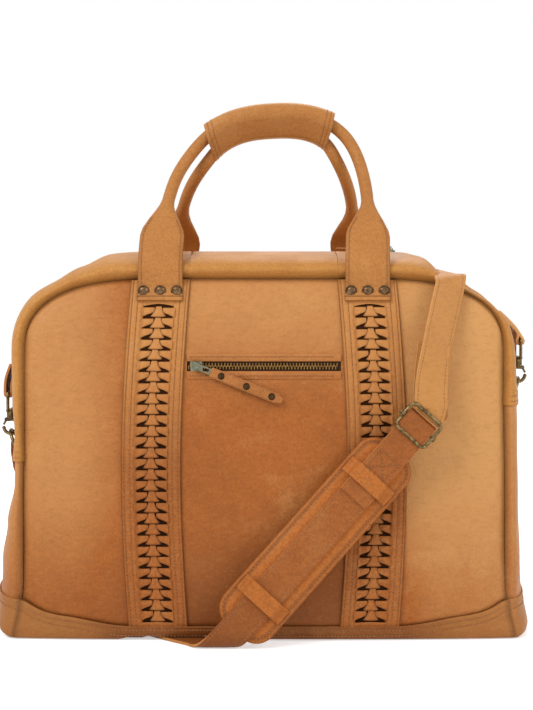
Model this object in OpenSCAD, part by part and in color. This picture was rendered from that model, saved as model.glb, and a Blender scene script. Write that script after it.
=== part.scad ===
// Leather weekender bag: soft body, braided bands, rolled handles, shoulder strap and fittings.
// It stands on z = 0, the front faces -Y and the width runs along X. Lengths are in mm.

/* [Body] */
// half width of the front panel between its side seams
panel_hw = 232; // [226:1:238]
// extra half width where the sides spread at the floor
base_flare = 10; // [6:1:12]
// height of the seam along the top of the front panel
seam_h = 346; // [342:1:350]
// half depth of the bag at the floor
base_hd = 120; // [116:1:124]
// half depth of the bag at the top seam
top_hd = 95; // [92:1:98]
// width of the sloping shoulder, taken off the straight top
shoulder_w = 130; // [124:1:136]
// height of the sloping shoulder
shoulder_h = 71; // [66:1:76]
// how far the gusset stands out at the top
top_bulge = 29; // [26:1:31]
// how far the gusset stands out at the sides
side_bulge = 20; // [17:1:22]
// how far the panels belly out
belly = 10; // [7:1:11]
// leather thickness of the body
leather_t = 2.5; // [2:0.1:2.8]
// height of the base band in the middle of the front
band_mid = 12; // [11:1:16]
// height of the base band at the corners and sides
band_cor = 36; // [32:1:44]
// height of the left gusset seam
seam_left = 170; // [160:1:176]
// height of the right gusset seam
seam_right = 224; // [214:1:230]

/* [Bands] */
// distance of each upright band from the middle
band_x = 105; // [102:1:108]
// width of an upright band
band_w = 58; // [54:1:60]
// thickness of an upright band
band_t = 2.2; // [1.8:0.1:2.4]
// width of the braided middle
braid_w = 32; // [28:1:34]
// thickness of the braid
braid_t = 1.4; // [1:0.1:1.6]

/* [Pocket] */
// height of the pocket zip
zip_z = 262; // [256:1:268]
// length of the pocket zip
zip_len = 148; // [136:1:150]
// length of the leather pull of the pocket zip
pull_len = 70; // [60:1:76]
// width of a leather pull
pull_w = 10; // [8:1:11]
// slope of the resting pocket pull, in degrees below level
pull_slope = 22; // [18:1:26]

/* [Handles] */
// half distance between the two legs of a handle
handle_hw = 100; // [97:1:103]
// height of the fold line of the handles
fold_z = 350; // [349:0.5:352]
// height of the front handle's top above the fold line
handle_rise = 168; // [160:1:176]
// radius of the rolled handle
tube_r = 8; // [7:0.1:8.4]
// half width of the stitched handle tab
tab_hw = 21.5; // [19:0.5:23]
// leather thickness of the tab
tab_t = 2.6; // [2.2:0.1:3]
// how far the fixed tab reaches down from the fold line
tab_drop = 25; // [23:1:28]
// half angle of the grip wrap along the handle
wrap_a = 39; // [34:1:41]
// rivet head radius
rivet_r = 5.2; // [4.6:0.1:5.6]
// distance between rivets
rivet_pitch = 16; // [14:0.5:16.5]

/* [Mouth] */
// half length of the part of the top that opens
mouth_hl = 71; // [66:1:73]
// half length of the main zip
zip_hl = 150; // [142:1:156]

/* [Fittings] */
// height of the left ring
ring_left = 178; // [174:1:184]
// height of the right ring
ring_right = 232; // [228:1:236]
// half length of the straight side of a ring
ring_hl = 14; // [13:0.5:15]
// wire radius of rings and hooks
wire_r = 1.8; // [1.6:0.1:1.9]

/* [Strap] */
// width of the shoulder strap
strap_w = 31; // [28:0.5:31.5]
// thickness of the shoulder strap
strap_t = 2.8; // [2.4:0.1:2.9]
// distance of the buckle from the middle
buckle_x = 145; // [142:1:148]
// height of the buckle
buckle_z = 207; // [202:1:212]
// length of the shoulder pad
pad_len = 228; // [216:2:236]
// width of the shoulder pad
pad_w = 60; // [56:1:64]
// thickness of the shoulder pad
pad_t = 7; // [6:0.5:7.5]

/* [Hidden] */
$fn = 48;
gap = 0.3;
edge_gap = 1.5;
sn = 2.6;
top_flat = panel_hw - shoulder_w;
zs = seam_h - shoulder_h;
sh_len = 150;
u_s = top_flat + sh_len;
u_end = u_s + zs;
gx = panel_hw + side_bulge;
mouth_t = 0.15;
zip_hw = 6.2;
Y = [0, 1, 0];
Z = [0, 0, 1];

function lerp(a, b, t) = a + (b - a) * t;
function unit(v) = v / norm(v);
function clamp(t) = min(1, max(0, t));
function smooth(t) = clamp(t) * clamp(t) * (3 - 2 * clamp(t));
function even(a) = (1 - cos(180 * a)) / 2;
function flat(L) = [for (r = L) each r];

// front face of the panels, leaning back as it rises
function yf(z) = -lerp(base_hd, top_hd, z / seam_h);
function half_w(z) = panel_hw + base_flare * pow(max(0, 1 - z / 60), 2);
function z_top(x) = abs(x) <= top_flat ? seam_h
  : zs + shoulder_h * pow(max(0, 1 - pow((abs(x) - top_flat) / shoulder_w, sn)), 1 / sn);
function z_low(x) = lerp(band_mid, band_cor, pow(clamp(abs(x) / panel_hw), 2));
function swell(x, z) = belly * max(0, 1 - pow(abs(x) / half_w(z), 3))
  * pow(max(0, sin(180 * clamp((z + 60) / (z_top(x) + 60)))), 0.6);
function y_front(x, z) = yf(z) - swell(x, z);

// outline of the panels, from the middle of the top down one side
function side_of(u) = u < top_flat ? [u, seam_h]
  : u < u_s ? let (f = (1 - (u - top_flat) / sh_len) * 90)
    [top_flat + shoulder_w * pow(cos(f), 2 / sn), zs + shoulder_h * pow(sin(f), 2 / sn)]
  : [half_w(u_end - u), u_end - u];
function outline(u) = u >= 0 ? side_of(u) : let (p = side_of(-u)) [-p[0], p[1]];
function out_dir(u) = let (t = outline(u + 1) - outline(u - 1)) unit([-t[1], t[0]]);
function bulge_at(u) = abs(u) < top_flat ? top_bulge
  : lerp(top_bulge, side_bulge, smooth((abs(u) - top_flat) / sh_len));
function puff(t) = pow(max(0, 1 - pow(abs(2 * t - 1), 2.5)), 0.4);
function gus(u, t) = let (p = outline(u), n = out_dir(u), o = bulge_at(u) * puff(t))
  [p[0] + n[0] * o, lerp(yf(p[1]), -yf(p[1]), t), p[1] + n[1] * o];
function gus_n(u, t) = unit(cross(gus(u + 1, t) - gus(u - 1, t),
  gus(u, min(1, t + 0.004)) - gus(u, max(0, t - 0.004))));
function gus_in(u, t, d) = gus(u, t) - gus_n(u, t) * d;

// a sheet between an outer and an inner grid of points
module sheet(P, Q, loop = false) {
  nr = len(P);
  nc = len(P[0]);
  k = nr * nc;
  i0 = floor((nr - 1) / 2);
  j0 = floor((nc - 1) / 2);
  s = cross(P[i0 + 1][j0] - P[i0][j0], P[i0][j0 + 1] - P[i0][j0]) * (P[i0][j0] - Q[i0][j0]) > 0;
  f = [
    for (i = [0:nr - 2]) for (j = [0:(loop ? nc - 1 : nc - 2)])
      let (m = (j + 1) % nc, a = i * nc + j, b = a + nc, c = (i + 1) * nc + m, d = i * nc + m)
        each [[a, c, b], [a, d, c], [a + k, b + k, c + k], [a + k, c + k, d + k]],
    for (i = [0:nr - 2]) if (!loop)
      let (a = i * nc, b = a + nc) each [[a, b, b + k], [a, b + k, a + k]],
    for (i = [0:nr - 2]) if (!loop)
      let (d = i * nc + nc - 1, c = d + nc) each [[c, d, d + k], [c, d + k, c + k]],
    for (j = [0:(loop ? nc - 1 : nc - 2)])
      let (a = j, d = (j + 1) % nc) each [[d, a, a + k], [d, a + k, d + k]],
    for (j = [0:(loop ? nc - 1 : nc - 2)])
      let (b = (nr - 1) * nc + j, c = (nr - 1) * nc + (j + 1) % nc)
        each [[b, c, c + k], [b, c + k, b + k]]
  ];
  polyhedron(concat(flat(P), flat(Q)), s ? f : [for (q = f) [q[0], q[2], q[1]]]);
}

// a solid through closed rings of points
module loft(R) {
  nr = len(R);
  m = len(R[0]);
  i0 = floor(nr / 2);
  c0 = [for (p = R[i0]) 1] * R[i0] / m;
  s = cross(R[i0 + 1][0] - R[i0][0], R[i0][1] - R[i0][0]) * (R[i0][0] - c0) > 0;
  f = [
    for (i = [0:nr - 2]) for (j = [0:m - 1])
      let (n = (j + 1) % m, a = i * m + j, b = a + m, c = (i + 1) * m + n, d = i * m + n)
        each [[a, c, b], [a, d, c]],
    [for (j = [m - 1:-1:0]) j],
    [for (j = [0:m - 1]) (nr - 1) * m + j]
  ];
  polyhedron(flat(R), s ? f : [for (q = f) [for (i = [len(q) - 1:-1:0]) q[i]]]);
}

// grid of panel points from four edges
uk = top_flat + sh_len * 0.5;
function edge_s(v) = outline(lerp(u_end - band_cor, uk, v));
function edge_b(h) = let (x = lerp(-half_w(band_cor), half_w(band_cor), h)) [x, z_low(x)];
function edge_t(h) = outline(lerp(-uk, uk, h));
function left_of(p) = [-p[0], p[1]];
function net(h, v) = (1 - v) * edge_b(h) + v * edge_t(h) + (1 - h) * left_of(edge_s(v)) + h * edge_s(v)
  - (1 - v) * ((1 - h) * edge_b(0) + h * edge_b(1)) - v * ((1 - h) * edge_t(0) + h * edge_t(1));
function shrunk(p, i) = let (zc = seam_h / 2)
  [p[0] * (1 - i / panel_hw), zc + (p[1] - zc) * (1 - i / (zc - band_cor))];
function panel_grid(sg, inset, d, nh, nv) = [for (a = [0:nv]) [for (b = [0:nh])
  let (p = shrunk(net(b / nh, a / nv), inset)) [p[0], sg * (y_front(p[0], p[1]) + d), p[1]]]];

module panel(sg, inset, d0, d1, nh, nv) {
  sheet(panel_grid(sg, inset, d0, nh, nv), panel_grid(sg, inset, d1, nh, nv));
}

// a patch lying on a panel, cut to straight edges
function patch_grid(sg, x0, x1, za, zb, d, nx, nz) = [for (i = [0:nz]) [for (j = [0:nx])
  let (x = lerp(x0, x1, j / nx), z = lerp(za, zb, i / nz)) [x, sg * (y_front(x, z) - d), z]]];

module patch(sg, x0, x1, za, zb, d, t, nx, nz) {
  sheet(patch_grid(sg, x0, x1, za, zb, d + t, nx, nz), patch_grid(sg, x0, x1, za, zb, d, nx, nz));
}

// gusset strip over a list of outline places, with the limits of its width at each
module strip(U, T0, T1, nt, d0, d1) {
  function g(d) = [for (i = [0:len(U) - 1]) [for (j = [0:nt])
    gus_in(U[i], lerp(T0[i], T1[i], j / nt), d)]];
  sheet(g(d0), g(d1));
}

// places round the bottom edge: front, right, back, left
nf = 34;
ns = 10;
cols = concat(
  [for (i = [0:nf]) [0, lerp(-1, 1, i / nf)]],
  [for (i = [1:ns - 1]) [1, even(i / ns)]],
  [for (i = [0:nf]) [2, lerp(1, -1, i / nf)]],
  [for (i = [1:ns - 1]) [3, 1 - even(i / ns)]]
);
function at_base(c, z, d) = c[0] == 0 || c[0] == 2
  ? let (sg = c[0] == 0 ? 1 : -1, w = half_w(z), x = c[1] * w)
    [x - d * sign(c[1]) * pow(abs(c[1]), 12), sg * (y_front(x, z) + d), z]
  : gus_in((c[0] == 1 ? 1 : -1) * (u_end - z), c[1], d);
function cross_lift(c) = let (x = c[1] * half_w(0))
  c[0] == 0 ? 4 * (1 - smooth((abs(x - under_front[0]) - 40) / 16))
  : c[0] == 2 ? 10 * (1 - smooth((abs(x - back_x) - 20) / 16)) : 0;
function rim_top(c) = (c[0] == 0 || c[0] == 2 ? z_low(c[1] * half_w(band_cor)) : band_cor) - gap;
rim_z = [0.2, 1.8, 5.2];
rim_in = [4.6, 1.7, 0];
function rim_row(r, d) = [for (c = cols) let (l = cross_lift(c), zt = rim_top(c))
  r < 3 ? at_base(c, l + rim_z[r] * (1 - l / 12), rim_in[r] * (1 - l / 10) + d)
  : at_base(c, lerp(l + rim_z[2] * (1 - l / 12), zt, (r - 2) / 3), d)];

// strap route under the bag
back_x = -194;
under_front = [-84, -112];
under = [[back_x, 108], [back_x, 10], [-140, -62], [-60, -137]];
function bez(B, t) = pow(1 - t, 3) * B[0] + 3 * t * pow(1 - t, 2) * B[1]
  + 3 * t * t * (1 - t) * B[2] + t * t * t * B[3];
function bez_d(B, t) = unit(pow(1 - t, 2) * (B[1] - B[0]) + 2 * t * (1 - t) * (B[2] - B[1])
  + t * t * (B[3] - B[2]));
function side_line(o) = [for (i = [0:24])
  let (t = lerp(-0.03, 1, i / 24), d = bez_d(under, t)) bez(under, t) + o * [-d[1], d[0]]];

module under_strip(o) {
  far = side_line(-o);
  polygon(concat(side_line(o), [for (i = [len(far) - 1:-1:0]) far[i]]));
}

module base_shape(i) {
  polygon([for (c = cols) let (p = at_base(c, 0, i)) [p[0], p[1]]]);
}

module front_panel() {
  color([0.70, 0.44, 0.22]) difference() {
    panel(1, edge_gap, 0, leather_t, 20, 14);
    translate([-zip_len / 2, y_front(0, zip_z) - 6, zip_z - 5])
      cube([zip_len, 14, 10]);
  }
}

module back_panel() {
  color([0.70, 0.44, 0.22]) panel(-1, edge_gap, 0, leather_t, 20, 14);
}

module base_panel() {
  color([0.62, 0.38, 0.19]) difference() {
    union() {
      linear_extrude(3) base_shape(9.5);
      linear_extrude(strap_t + 3.6) intersection() {
        base_shape(9.5);
        under_strip(strap_w / 2 + 4);
      }
    }
    translate([0, 0, -1]) linear_extrude(strap_t + 1.6) under_strip(strap_w / 2 + 1);
  }
}

module base_band() {
  color([0.62, 0.38, 0.19])
    sheet([for (r = [0:5]) rim_row(r, 0)], [for (r = [0:5]) rim_row(r, leather_t)], true);
}

module base_board() {
  color([0.35, 0.27, 0.2]) translate([0, 0, strap_t + 4]) linear_extrude(3) base_shape(12);
}

module side_gusset(sg, z1) {
  U = [for (i = [0:8]) sg * (u_end - lerp(band_cor + gap, z1 - gap, i / 8))];
  strip(U, [for (u = U) 0], [for (u = U) 1], 14, 0, leather_t);
}

module left_gusset() {
  color([0.66, 0.41, 0.2]) side_gusset(-1, seam_left);
}

module right_gusset() {
  color([0.66, 0.41, 0.2]) side_gusset(1, seam_right);
}

// closed ends of the main zip, past the mouth
end_hl = (zip_hl - mouth_hl - 3) / 2;
end_x = mouth_hl + 1 + end_hl;

// strips over the top, notched where the mouth opens
top_u = concat(
  [for (i = [0:9]) lerp(-(u_end - seam_left - gap), -u_s, i / 9)],
  [for (i = [1:8]) lerp(-u_s, -zip_hl - 1, i / 8)],
  [for (x = [-zip_hl, -end_x, -mouth_hl - 1.6, -mouth_hl - 0.8, 0]) x],
  [for (x = [mouth_hl + 0.8, mouth_hl + 1.6, end_x, zip_hl]) x],
  [for (i = [0:7]) lerp(zip_hl + 1, u_s, i / 8)],
  [for (i = [0:9]) lerp(u_s, u_end - seam_right - gap, i / 9)]
);
zip_t = 0.5 - zip_hw / (2 * top_hd);
top_w = [for (u = top_u)
  abs(u) < mouth_hl + 1 ? mouth_t : abs(u) < zip_hl + 0.5 ? zip_t : 0.5 - gap / (2 * top_hd)];

module top_strip(sg) {
  edge = [for (u = top_u) sg > 0 ? 0 : 1];
  strip(top_u, edge, [for (w = top_w) sg > 0 ? w : 1 - w], 8, 0, leather_t);
}

module top_gusset_front() {
  color([0.74, 0.5, 0.28]) top_strip(1);
}

module top_gusset_back() {
  color([0.74, 0.5, 0.28]) top_strip(-1);
}

module flap(sg) {
  U = [-mouth_hl, -mouth_hl / 2, 0, mouth_hl / 2, mouth_hl];
  a = mouth_t + 0.5 / top_hd;
  fold = [for (u = U) sg > 0 ? a : 1 - a];
  strip(U, fold, [for (u = U) sg > 0 ? zip_t : 1 - zip_t], 8, 0, leather_t);
}

module front_flap() {
  color([0.74, 0.5, 0.28]) flap(1);
}

module back_flap() {
  color([0.74, 0.5, 0.28]) flap(-1);
}

// main zip, lying level at the top of the bag
zip_top = seam_h + top_bulge;
tape_t = 0.7;
tape_z = zip_top - leather_t - tape_t - 0.9;
teeth_z = tape_z + tape_t + gap;
teeth_h = 2.2;
pitch = 3;

// one side of closed teeth from x0 to x1
module comb(x0, x1, sg) {
  n = floor((x1 - x0) / pitch);
  linear_extrude(teeth_h) polygon(concat(
    [[x0, -sg * 3.2], [x0, -sg * 1.2]],
    [for (i = [0:n - 1]) let (s = x0 + pitch * (i + 0.5 - sg * 0.25))
      each [[s - 0.55, -sg * 1.2], [s - 0.55, sg * 0.8], [s + 0.55, sg * 0.8], [s + 0.55, -sg * 1.2]]],
    [[x1, -sg * 1.2], [x1, -sg * 3.2]]
  ));
}

// one side of the tape, as wide as w
module tape(hl, w, sg) {
  translate([-hl, sg > 0 ? -w : gap, 0]) cube([2 * hl, w - gap, tape_t]);
}

module flap_tape_front() {
  color([0.25, 0.17, 0.1]) translate([0, 0, tape_z]) tape(mouth_hl, 15, 1);
}

module flap_tape_back() {
  color([0.25, 0.17, 0.1]) translate([0, 0, tape_z]) tape(mouth_hl, 15, -1);
}

module flap_teeth_front() {
  color([0.45, 0.37, 0.22]) translate([0, 0, teeth_z])
    comb(-mouth_hl + 0.5, mouth_hl - 0.5, 1);
}

module flap_teeth_back() {
  color([0.45, 0.37, 0.22]) translate([0, 0, teeth_z])
    comb(-mouth_hl + 0.5, mouth_hl - 0.5, -1);
}

module zip_end_tapes() {
  color([0.25, 0.17, 0.1]) for (e = [-1, 1]) for (sg = [-1, 1])
    translate([e * end_x, 0, tape_z]) tape(end_hl, zip_hw - gap, sg);
}

module zip_end_teeth() {
  color([0.45, 0.37, 0.22]) for (e = [-1, 1]) for (sg = [-1, 1])
    translate([e * end_x, 0, teeth_z]) comb(-end_hl + 0.5, end_hl - 0.5, sg);
}

// slider over closed teeth, with the post that the pull turns on
post_r = 1.5;
link_t = 1.4;
plate_z = teeth_h + 0.4;
plate_t = 2;
plate_top = plate_z + plate_t;

module slider(lift, lean = 0) {
  head_z = lift + link_t + 1;
  translate([-5.5, -4.6, plate_z]) cube([11, 9.2, plate_t]);
  for (sg = [-1, 1]) translate([-5.5, sg > 0 ? 3.2 + gap : -4.6, 0.5]) cube([11, 1.4 - gap, plate_z]);
  translate([0, 0, plate_top]) rotate([-lean, 0, 0]) {
    translate([0, 0, -0.6]) cylinder(r = post_r, h = head_z + 0.6);
    translate([0, 0, head_z]) cylinder(r = post_r + 1.4, h = 1);
  }
}

module link(lift) {
  translate([0, 0, lift]) difference() {
    union() {
      cylinder(r = 4, h = link_t);
      translate([0, -3, 0]) cube([20, 6, link_t]);
    }
    translate([0, 0, -1]) cylinder(r = post_r + gap, h = link_t + 2);
    translate([7, -1.6, -1]) cube([6, 3.2, link_t + 2]);
  }
}

pull_t = 3;

module leather_pull(lift, length) {
  translate([0, 0, lift + link_t / 2 - pull_t / 2]) difference() {
    linear_extrude(pull_t) polygon([[15, -pull_w / 2], [15 + length, -pull_w / 2], [19 + length, 0],
      [15 + length, pull_w / 2], [15, pull_w / 2]]);
    translate([10, -3.2, (pull_t - link_t) / 2 - 0.2]) cube([10.3, 6.4, link_t + 0.4]);
    for (i = [0:2]) translate([26 + i * (length - 18) / 2, 0, -1]) cylinder(r = 1.3, h = pull_t + 2);
  }
}

main_x = zip_hl - 21;
main_lift = 0.4;

module on_main() {
  translate([main_x, 0, teeth_z]) rotate([0, 0, 180]) children();
}

module main_slider() {
  color([0.5, 0.45, 0.33]) on_main() slider(main_lift);
}

module main_pull_link() {
  color([0.5, 0.45, 0.33]) on_main() translate([0, 0, plate_top]) link(main_lift);
}

module main_pull_tab() {
  color([0.72, 0.46, 0.24]) on_main() translate([0, 0, plate_top]) leather_pull(main_lift, 36);
}

// pocket zip, in the slot of the front panel, with a pull that leans along the belly and clears the braid
pocket_y = y_front(0, zip_z);
pocket_lift = band_t + braid_t;
pull_lean = 5.5;

module on_pocket() {
  translate([0, pocket_y + 2.6, zip_z]) rotate([90, 0, 0]) children();
}

between = band_x - band_w / 2;
slider_x = -between + 11;

module pocket_tape() {
  color([0.25, 0.17, 0.1]) difference() {
    patch(1, -zip_len / 2 - 4, zip_len / 2 + 4, zip_z - 9, zip_z + 9,
      -leather_t - tape_t - 0.7, tape_t, 8, 2);
    translate([-zip_len, pocket_y - 10, zip_z - gap / 2]) cube([zip_len * 2, 30, gap]);
  }
}

module pocket_teeth() {
  color([0.45, 0.37, 0.22]) for (sg = [-1, 1])
    on_pocket() comb(-zip_len / 2 + 1, zip_len / 2 - 1, sg);
}

module pocket_welts() {
  color([0.72, 0.46, 0.24]) for (z = [zip_z - 12.2, zip_z + 5.2])
    patch(1, -between + 2, between - 2, z, z + 7, gap, 1, 8, 2);
}

module pocket_bag() {
  color([0.3, 0.22, 0.15])
    patch(1, -zip_len / 2 - 4, zip_len / 2 + 4, zip_z - 125, zip_z - 10,
      -leather_t - 3, 2.4, 8, 6);
}

module pocket_slider() {
  color([0.5, 0.5, 0.42]) translate([slider_x, 0, 0]) on_pocket() slider(pocket_lift, pull_lean);
}

module on_pull() {
  translate([slider_x, 0, 0]) on_pocket() translate([0, 0, plate_top])
    rotate([-pull_lean, 0, 0]) rotate([0, 0, -pull_slope]) children();
}

module pocket_pull_link() {
  color([0.5, 0.5, 0.42]) on_pull() link(pocket_lift);
}

module pocket_pull_tab() {
  color([0.72, 0.46, 0.24]) on_pull() leather_pull(pocket_lift, pull_len);
}

module pocket_pull_rivets() {
  color([0.2, 0.15, 0.1]) on_pull() for (i = [0:2])
    translate([26 + i * (pull_len - 18) / 2, 0, pocket_lift + link_t / 2 - pull_t / 2]) {
      translate([0, 0, pull_t + 0.05]) cylinder(r1 = 3.3, r2 = 2.4, h = 1.1);
      translate([0, 0, 0.1]) cylinder(r = 1.1, h = pull_t + 0.2);
    }
}

lining_t = 0.8;

module front_lining() {
  color([0.3, 0.22, 0.15]) panel(1, 9, leather_t + 4, leather_t + 4 + lining_t, 10, 8);
}

module back_lining() {
  color([0.3, 0.22, 0.15]) panel(-1, 9, leather_t + 0.8, leather_t + 0.8 + lining_t, 10, 8);
}

// upright bands and their braids
module band(sg, sx) {
  nz = 14;
  x0 = sx * band_x - band_w / 2;
  function g(d) = [for (i = [0:nz]) [for (j = [0:8])
    let (x = x0 + band_w * j / 8, z = lerp(z_low(x) + gap + 0.5, z_top(x) - 2.5, i / nz))
      [x, sg * (y_front(x, z) - d), z]]];
  sheet(g(gap + band_t), g(gap));
}

module braid(sg, sx) {
  patch(sg, sx * band_x - braid_w / 2, sx * band_x + braid_w / 2,
    band_mid + 20, fold_z - tab_drop - 4, 2 * gap + band_t, braid_t, 6, 14);
}

module front_left_band() {
  color([0.76, 0.5, 0.27]) band(1, -1);
}

module front_right_band() {
  color([0.76, 0.5, 0.27]) band(1, 1);
}

module back_bands() {
  color([0.76, 0.5, 0.27]) for (sx = [-1, 1]) band(-1, sx);
}

module front_left_braid() {
  color([0.55, 0.33, 0.16]) braid(1, -1);
}

module front_right_braid() {
  color([0.55, 0.33, 0.16]) braid(1, 1);
}

module back_braids() {
  color([0.55, 0.33, 0.16]) for (sx = [-1, 1]) braid(-1, sx);
}

// handle tabs, rivets and handles
tab_d = 2 * gap + band_t;
fold_r = tab_t / 2 + 0.15;
fold_y = -(y_front(handle_hw, fold_z) - tab_d - tab_t - gap - fold_r);

module tabs(sg) {
  for (x = [-handle_hw, handle_hw])
    patch(sg, x - tab_hw, x + tab_hw, fold_z - tab_drop, fold_z, tab_d, tab_t, 6, 5);
}

module front_tabs() {
  color([0.78, 0.54, 0.3]) tabs(1);
}

module back_tabs() {
  color([0.78, 0.54, 0.3]) tabs(-1);
}

rivet_z = fold_z - tab_drop + 9;
shank = tab_t + band_t + leather_t;

module rivets(sg) {
  for (sx = [-1, 1]) for (i = [-1:1]) {
    x = sx * handle_hw + i * rivet_pitch;
    y = y_front(x, rivet_z) - tab_d - tab_t;
    rotate([0, 0, sg > 0 ? 0 : 180]) translate([sg * x, y - 0.1, rivet_z]) rotate([90, 0, 0]) {
      rotate_extrude() intersection() {
        translate([0, 2.6 - rivet_r * 1.4]) circle(r = rivet_r * 1.4);
        square([rivet_r, 4]);
      }
      translate([0, 0, -shank]) cylinder(r = 1.6, h = shank + 1);
    }
  }
}

module front_rivets() {
  color([0.5, 0.43, 0.28]) rivets(1);
}

module back_rivets() {
  color([0.5, 0.43, 0.28]) rivets(-1);
}

leg = 50;
arch = 141;
reach = leg + arch;
meet_y = -20;
tube_gap = 2 * tube_r + 0.6;
drop_n = tube_gap * 0.782;
drop_y = tube_gap * 0.623;
kz = handle_rise / reach;

function h_out(f) = unit([-kz * arch * cos(f), handle_hw * sin(f)]);
function h_v(f) = leg + arch * sin(f);
function h_xz(f, o) = [-handle_hw * cos(f), fold_z + kz * h_v(f)] - h_out(f) * o;
function h_y(sg, v) = lerp(-sg * fold_y, sg > 0 ? meet_y : meet_y + drop_y, smooth(v / (0.82 * reach)));
function h_arch(sg, f) = let (o = sg > 0 ? 0 : drop_n * smooth(sin(f) / 0.68), p = h_xz(f, o))
  [p[0], h_y(sg, h_v(f)), p[1]];
function h_leg(sg, sx, v) = [sx * handle_hw, h_y(sg, v), fold_z + kz * v];
leg_v = [0, 8, 16, 24, 32, 40];
arch_f = [for (i = [0:30]) 180 * i / 30];
function h_line(sg) = concat([for (v = leg_v) h_leg(sg, -1, v)], [for (f = arch_f) h_arch(sg, f)],
  [for (i = [len(leg_v) - 1:-1:0]) h_leg(sg, 1, leg_v[i])]);
h_vs = concat(leg_v, [for (f = arch_f) h_v(f)], [for (i = [len(leg_v) - 1:-1:0]) leg_v[i]]);
function tab_half(v) = lerp(tab_hw, tube_r, smooth((v - 36) / 42));
function tab_thick(v) = lerp(tab_t / 2, tube_r, smooth((v - 32) / 44));
function soft(c, q) = sign(c) * pow(abs(c), q);
function h_rings(sg) = let (L = h_line(sg), n = len(L)) [for (i = [0:n - 1])
  let (t = unit(L[min(n - 1, i + 1)] - L[max(0, i - 1)]), s = unit(cross(t, Y)), m = cross(s, t),
    v = h_vs[i], q = lerp(0.5, 1, smooth((v - 40) / 36)))
  [for (a = [0:22.5:359])
    L[i] + s * tab_half(v) * soft(cos(a), q) + m * tab_thick(v) * soft(sin(a), q)]];

module handle(sg) {
  loft(h_rings(sg));
  for (sx = [-1, 1]) translate([sx * handle_hw - tab_hw + 0.5, -sg * fold_y, fold_z])
    rotate([0, 90, 0]) cylinder(r = fold_r, h = 2 * tab_hw - 1);
}

module front_handle() {
  color([0.78, 0.54, 0.3]) handle(1);
}

module back_handle() {
  color([0.78, 0.54, 0.3]) handle(-1);
}

// grip wrap in two halves round both handles
wrap_r = tube_r + 3;
wrap_t = 2.2;
lean = 218.6;
front_prof = concat([for (a = [92, 117, 142, 167, 192, lean]) [0, a]],
  [for (a = [lean, 229, 238]) [1, a]]);
back_prof = concat([for (a = [243, 270, 300, 330, 365, lean + 180]) [1, a]],
  [for (a = [lean - 180, 60, 86]) [0, a]]);

module wrap_shell(prof) {
  function g(r) = [for (i = [0:14])
    let (f = 90 + lerp(-wrap_a, wrap_a, i / 14), c = h_arch(1, f), o = h_out(f), n = [o[0], 0, o[1]])
      [for (p = prof) c + p[0] * (Y * drop_y - n * drop_n) + Y * r * cos(p[1]) + n * r * sin(p[1])]];
  sheet(g(wrap_r), g(wrap_r - wrap_t));
}

module handle_wrap() {
  color([0.75, 0.5, 0.27]) wrap_shell(front_prof);
}

module wrap_back() {
  color([0.75, 0.5, 0.27]) wrap_shell(back_prof);
}

// side rings and snap hooks, drawn on the right
ring_t = 2;
ring_x = gx + 0.6 + ring_t + gap + wire_r;
claw_r = 7.5;
hook_x = gx + 0.9 + claw_r + wire_r;
tilt = asin((hook_x - ring_x) / ring_hl);
claw_up = ring_hl * cos(tilt) + claw_r - 2 * wire_r - gap;
loop_hw = strap_w / 2 + 0.8 + 1.6;
bar_up = claw_up + 35;

module on_side(sg, z) {
  mirror([sg > 0 ? 0 : 1, 0, 0]) translate([0, 0, z]) children();
}

module ring_tab() {
  r = wire_r + gap;
  leg_in = [[-r - ring_t, -26]];
  leg_out = [[ring_t, -14], [ring_t - 1, -24], [-1.4, -24], [-0.4, -12]];
  rotate([90, 0, 0]) translate([ring_x, 0, -ring_hl + 3.4]) linear_extrude(2 * ring_hl - 6.8)
    polygon(concat(leg_in, [for (a = [180:-15:0]) (r + ring_t) * [cos(a), sin(a)]], leg_out,
      [for (a = [0:15:180]) r * [cos(a), sin(a)]], [[-r, -26]]));
}

module d_ring() {
  translate([ring_x, 0, 0]) rotate([0, tilt, 0]) {
    rotate([90, 0, 0]) cylinder(r = wire_r, h = 2 * ring_hl, center = true);
    rotate([90, 0, 90]) rotate_extrude(angle = 180) translate([ring_hl, 0]) circle(r = wire_r);
    for (s = [-1, 1]) translate([0, s * ring_hl, 0]) sphere(r = wire_r + 0.3);
  }
}

module hook() {
  translate([hook_x, 0, claw_up]) {
    rotate([90, 0, 0]) rotate([0, 0, 90]) rotate_extrude(angle = 260)
      translate([claw_r, 0]) circle(r = wire_r);
    rotate([0, 10, 0]) translate([claw_r, 0, 0]) sphere(r = wire_r + 0.1);
    translate([0, 0, claw_r - 1]) cylinder(r = 2.3, h = 6);
    translate([0, 0, 12]) cylinder(r = 3, h = 3);
    for (s = [-1, 1]) translate([0, s > 0 ? 1.8 : -3, 5.6]) cube([6.2, 1.2, 3.4]);
    translate([4.6, 0, 7.4]) rotate([90, 0, 0]) cylinder(r = 0.9, h = 5, center = true);
  }
}

module hook_gate() {
  translate([hook_x + 4.6, 0, claw_up + 7.4]) difference() {
    union() {
      rotate([90, 0, 0]) cylinder(r = 2, h = 3, center = true);
      rotate([0, 151, 0]) cylinder(r = 1.1, h = 6.2);
    }
    rotate([90, 0, 0]) cylinder(r = 1.2, h = 8, center = true);
  }
}

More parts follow.
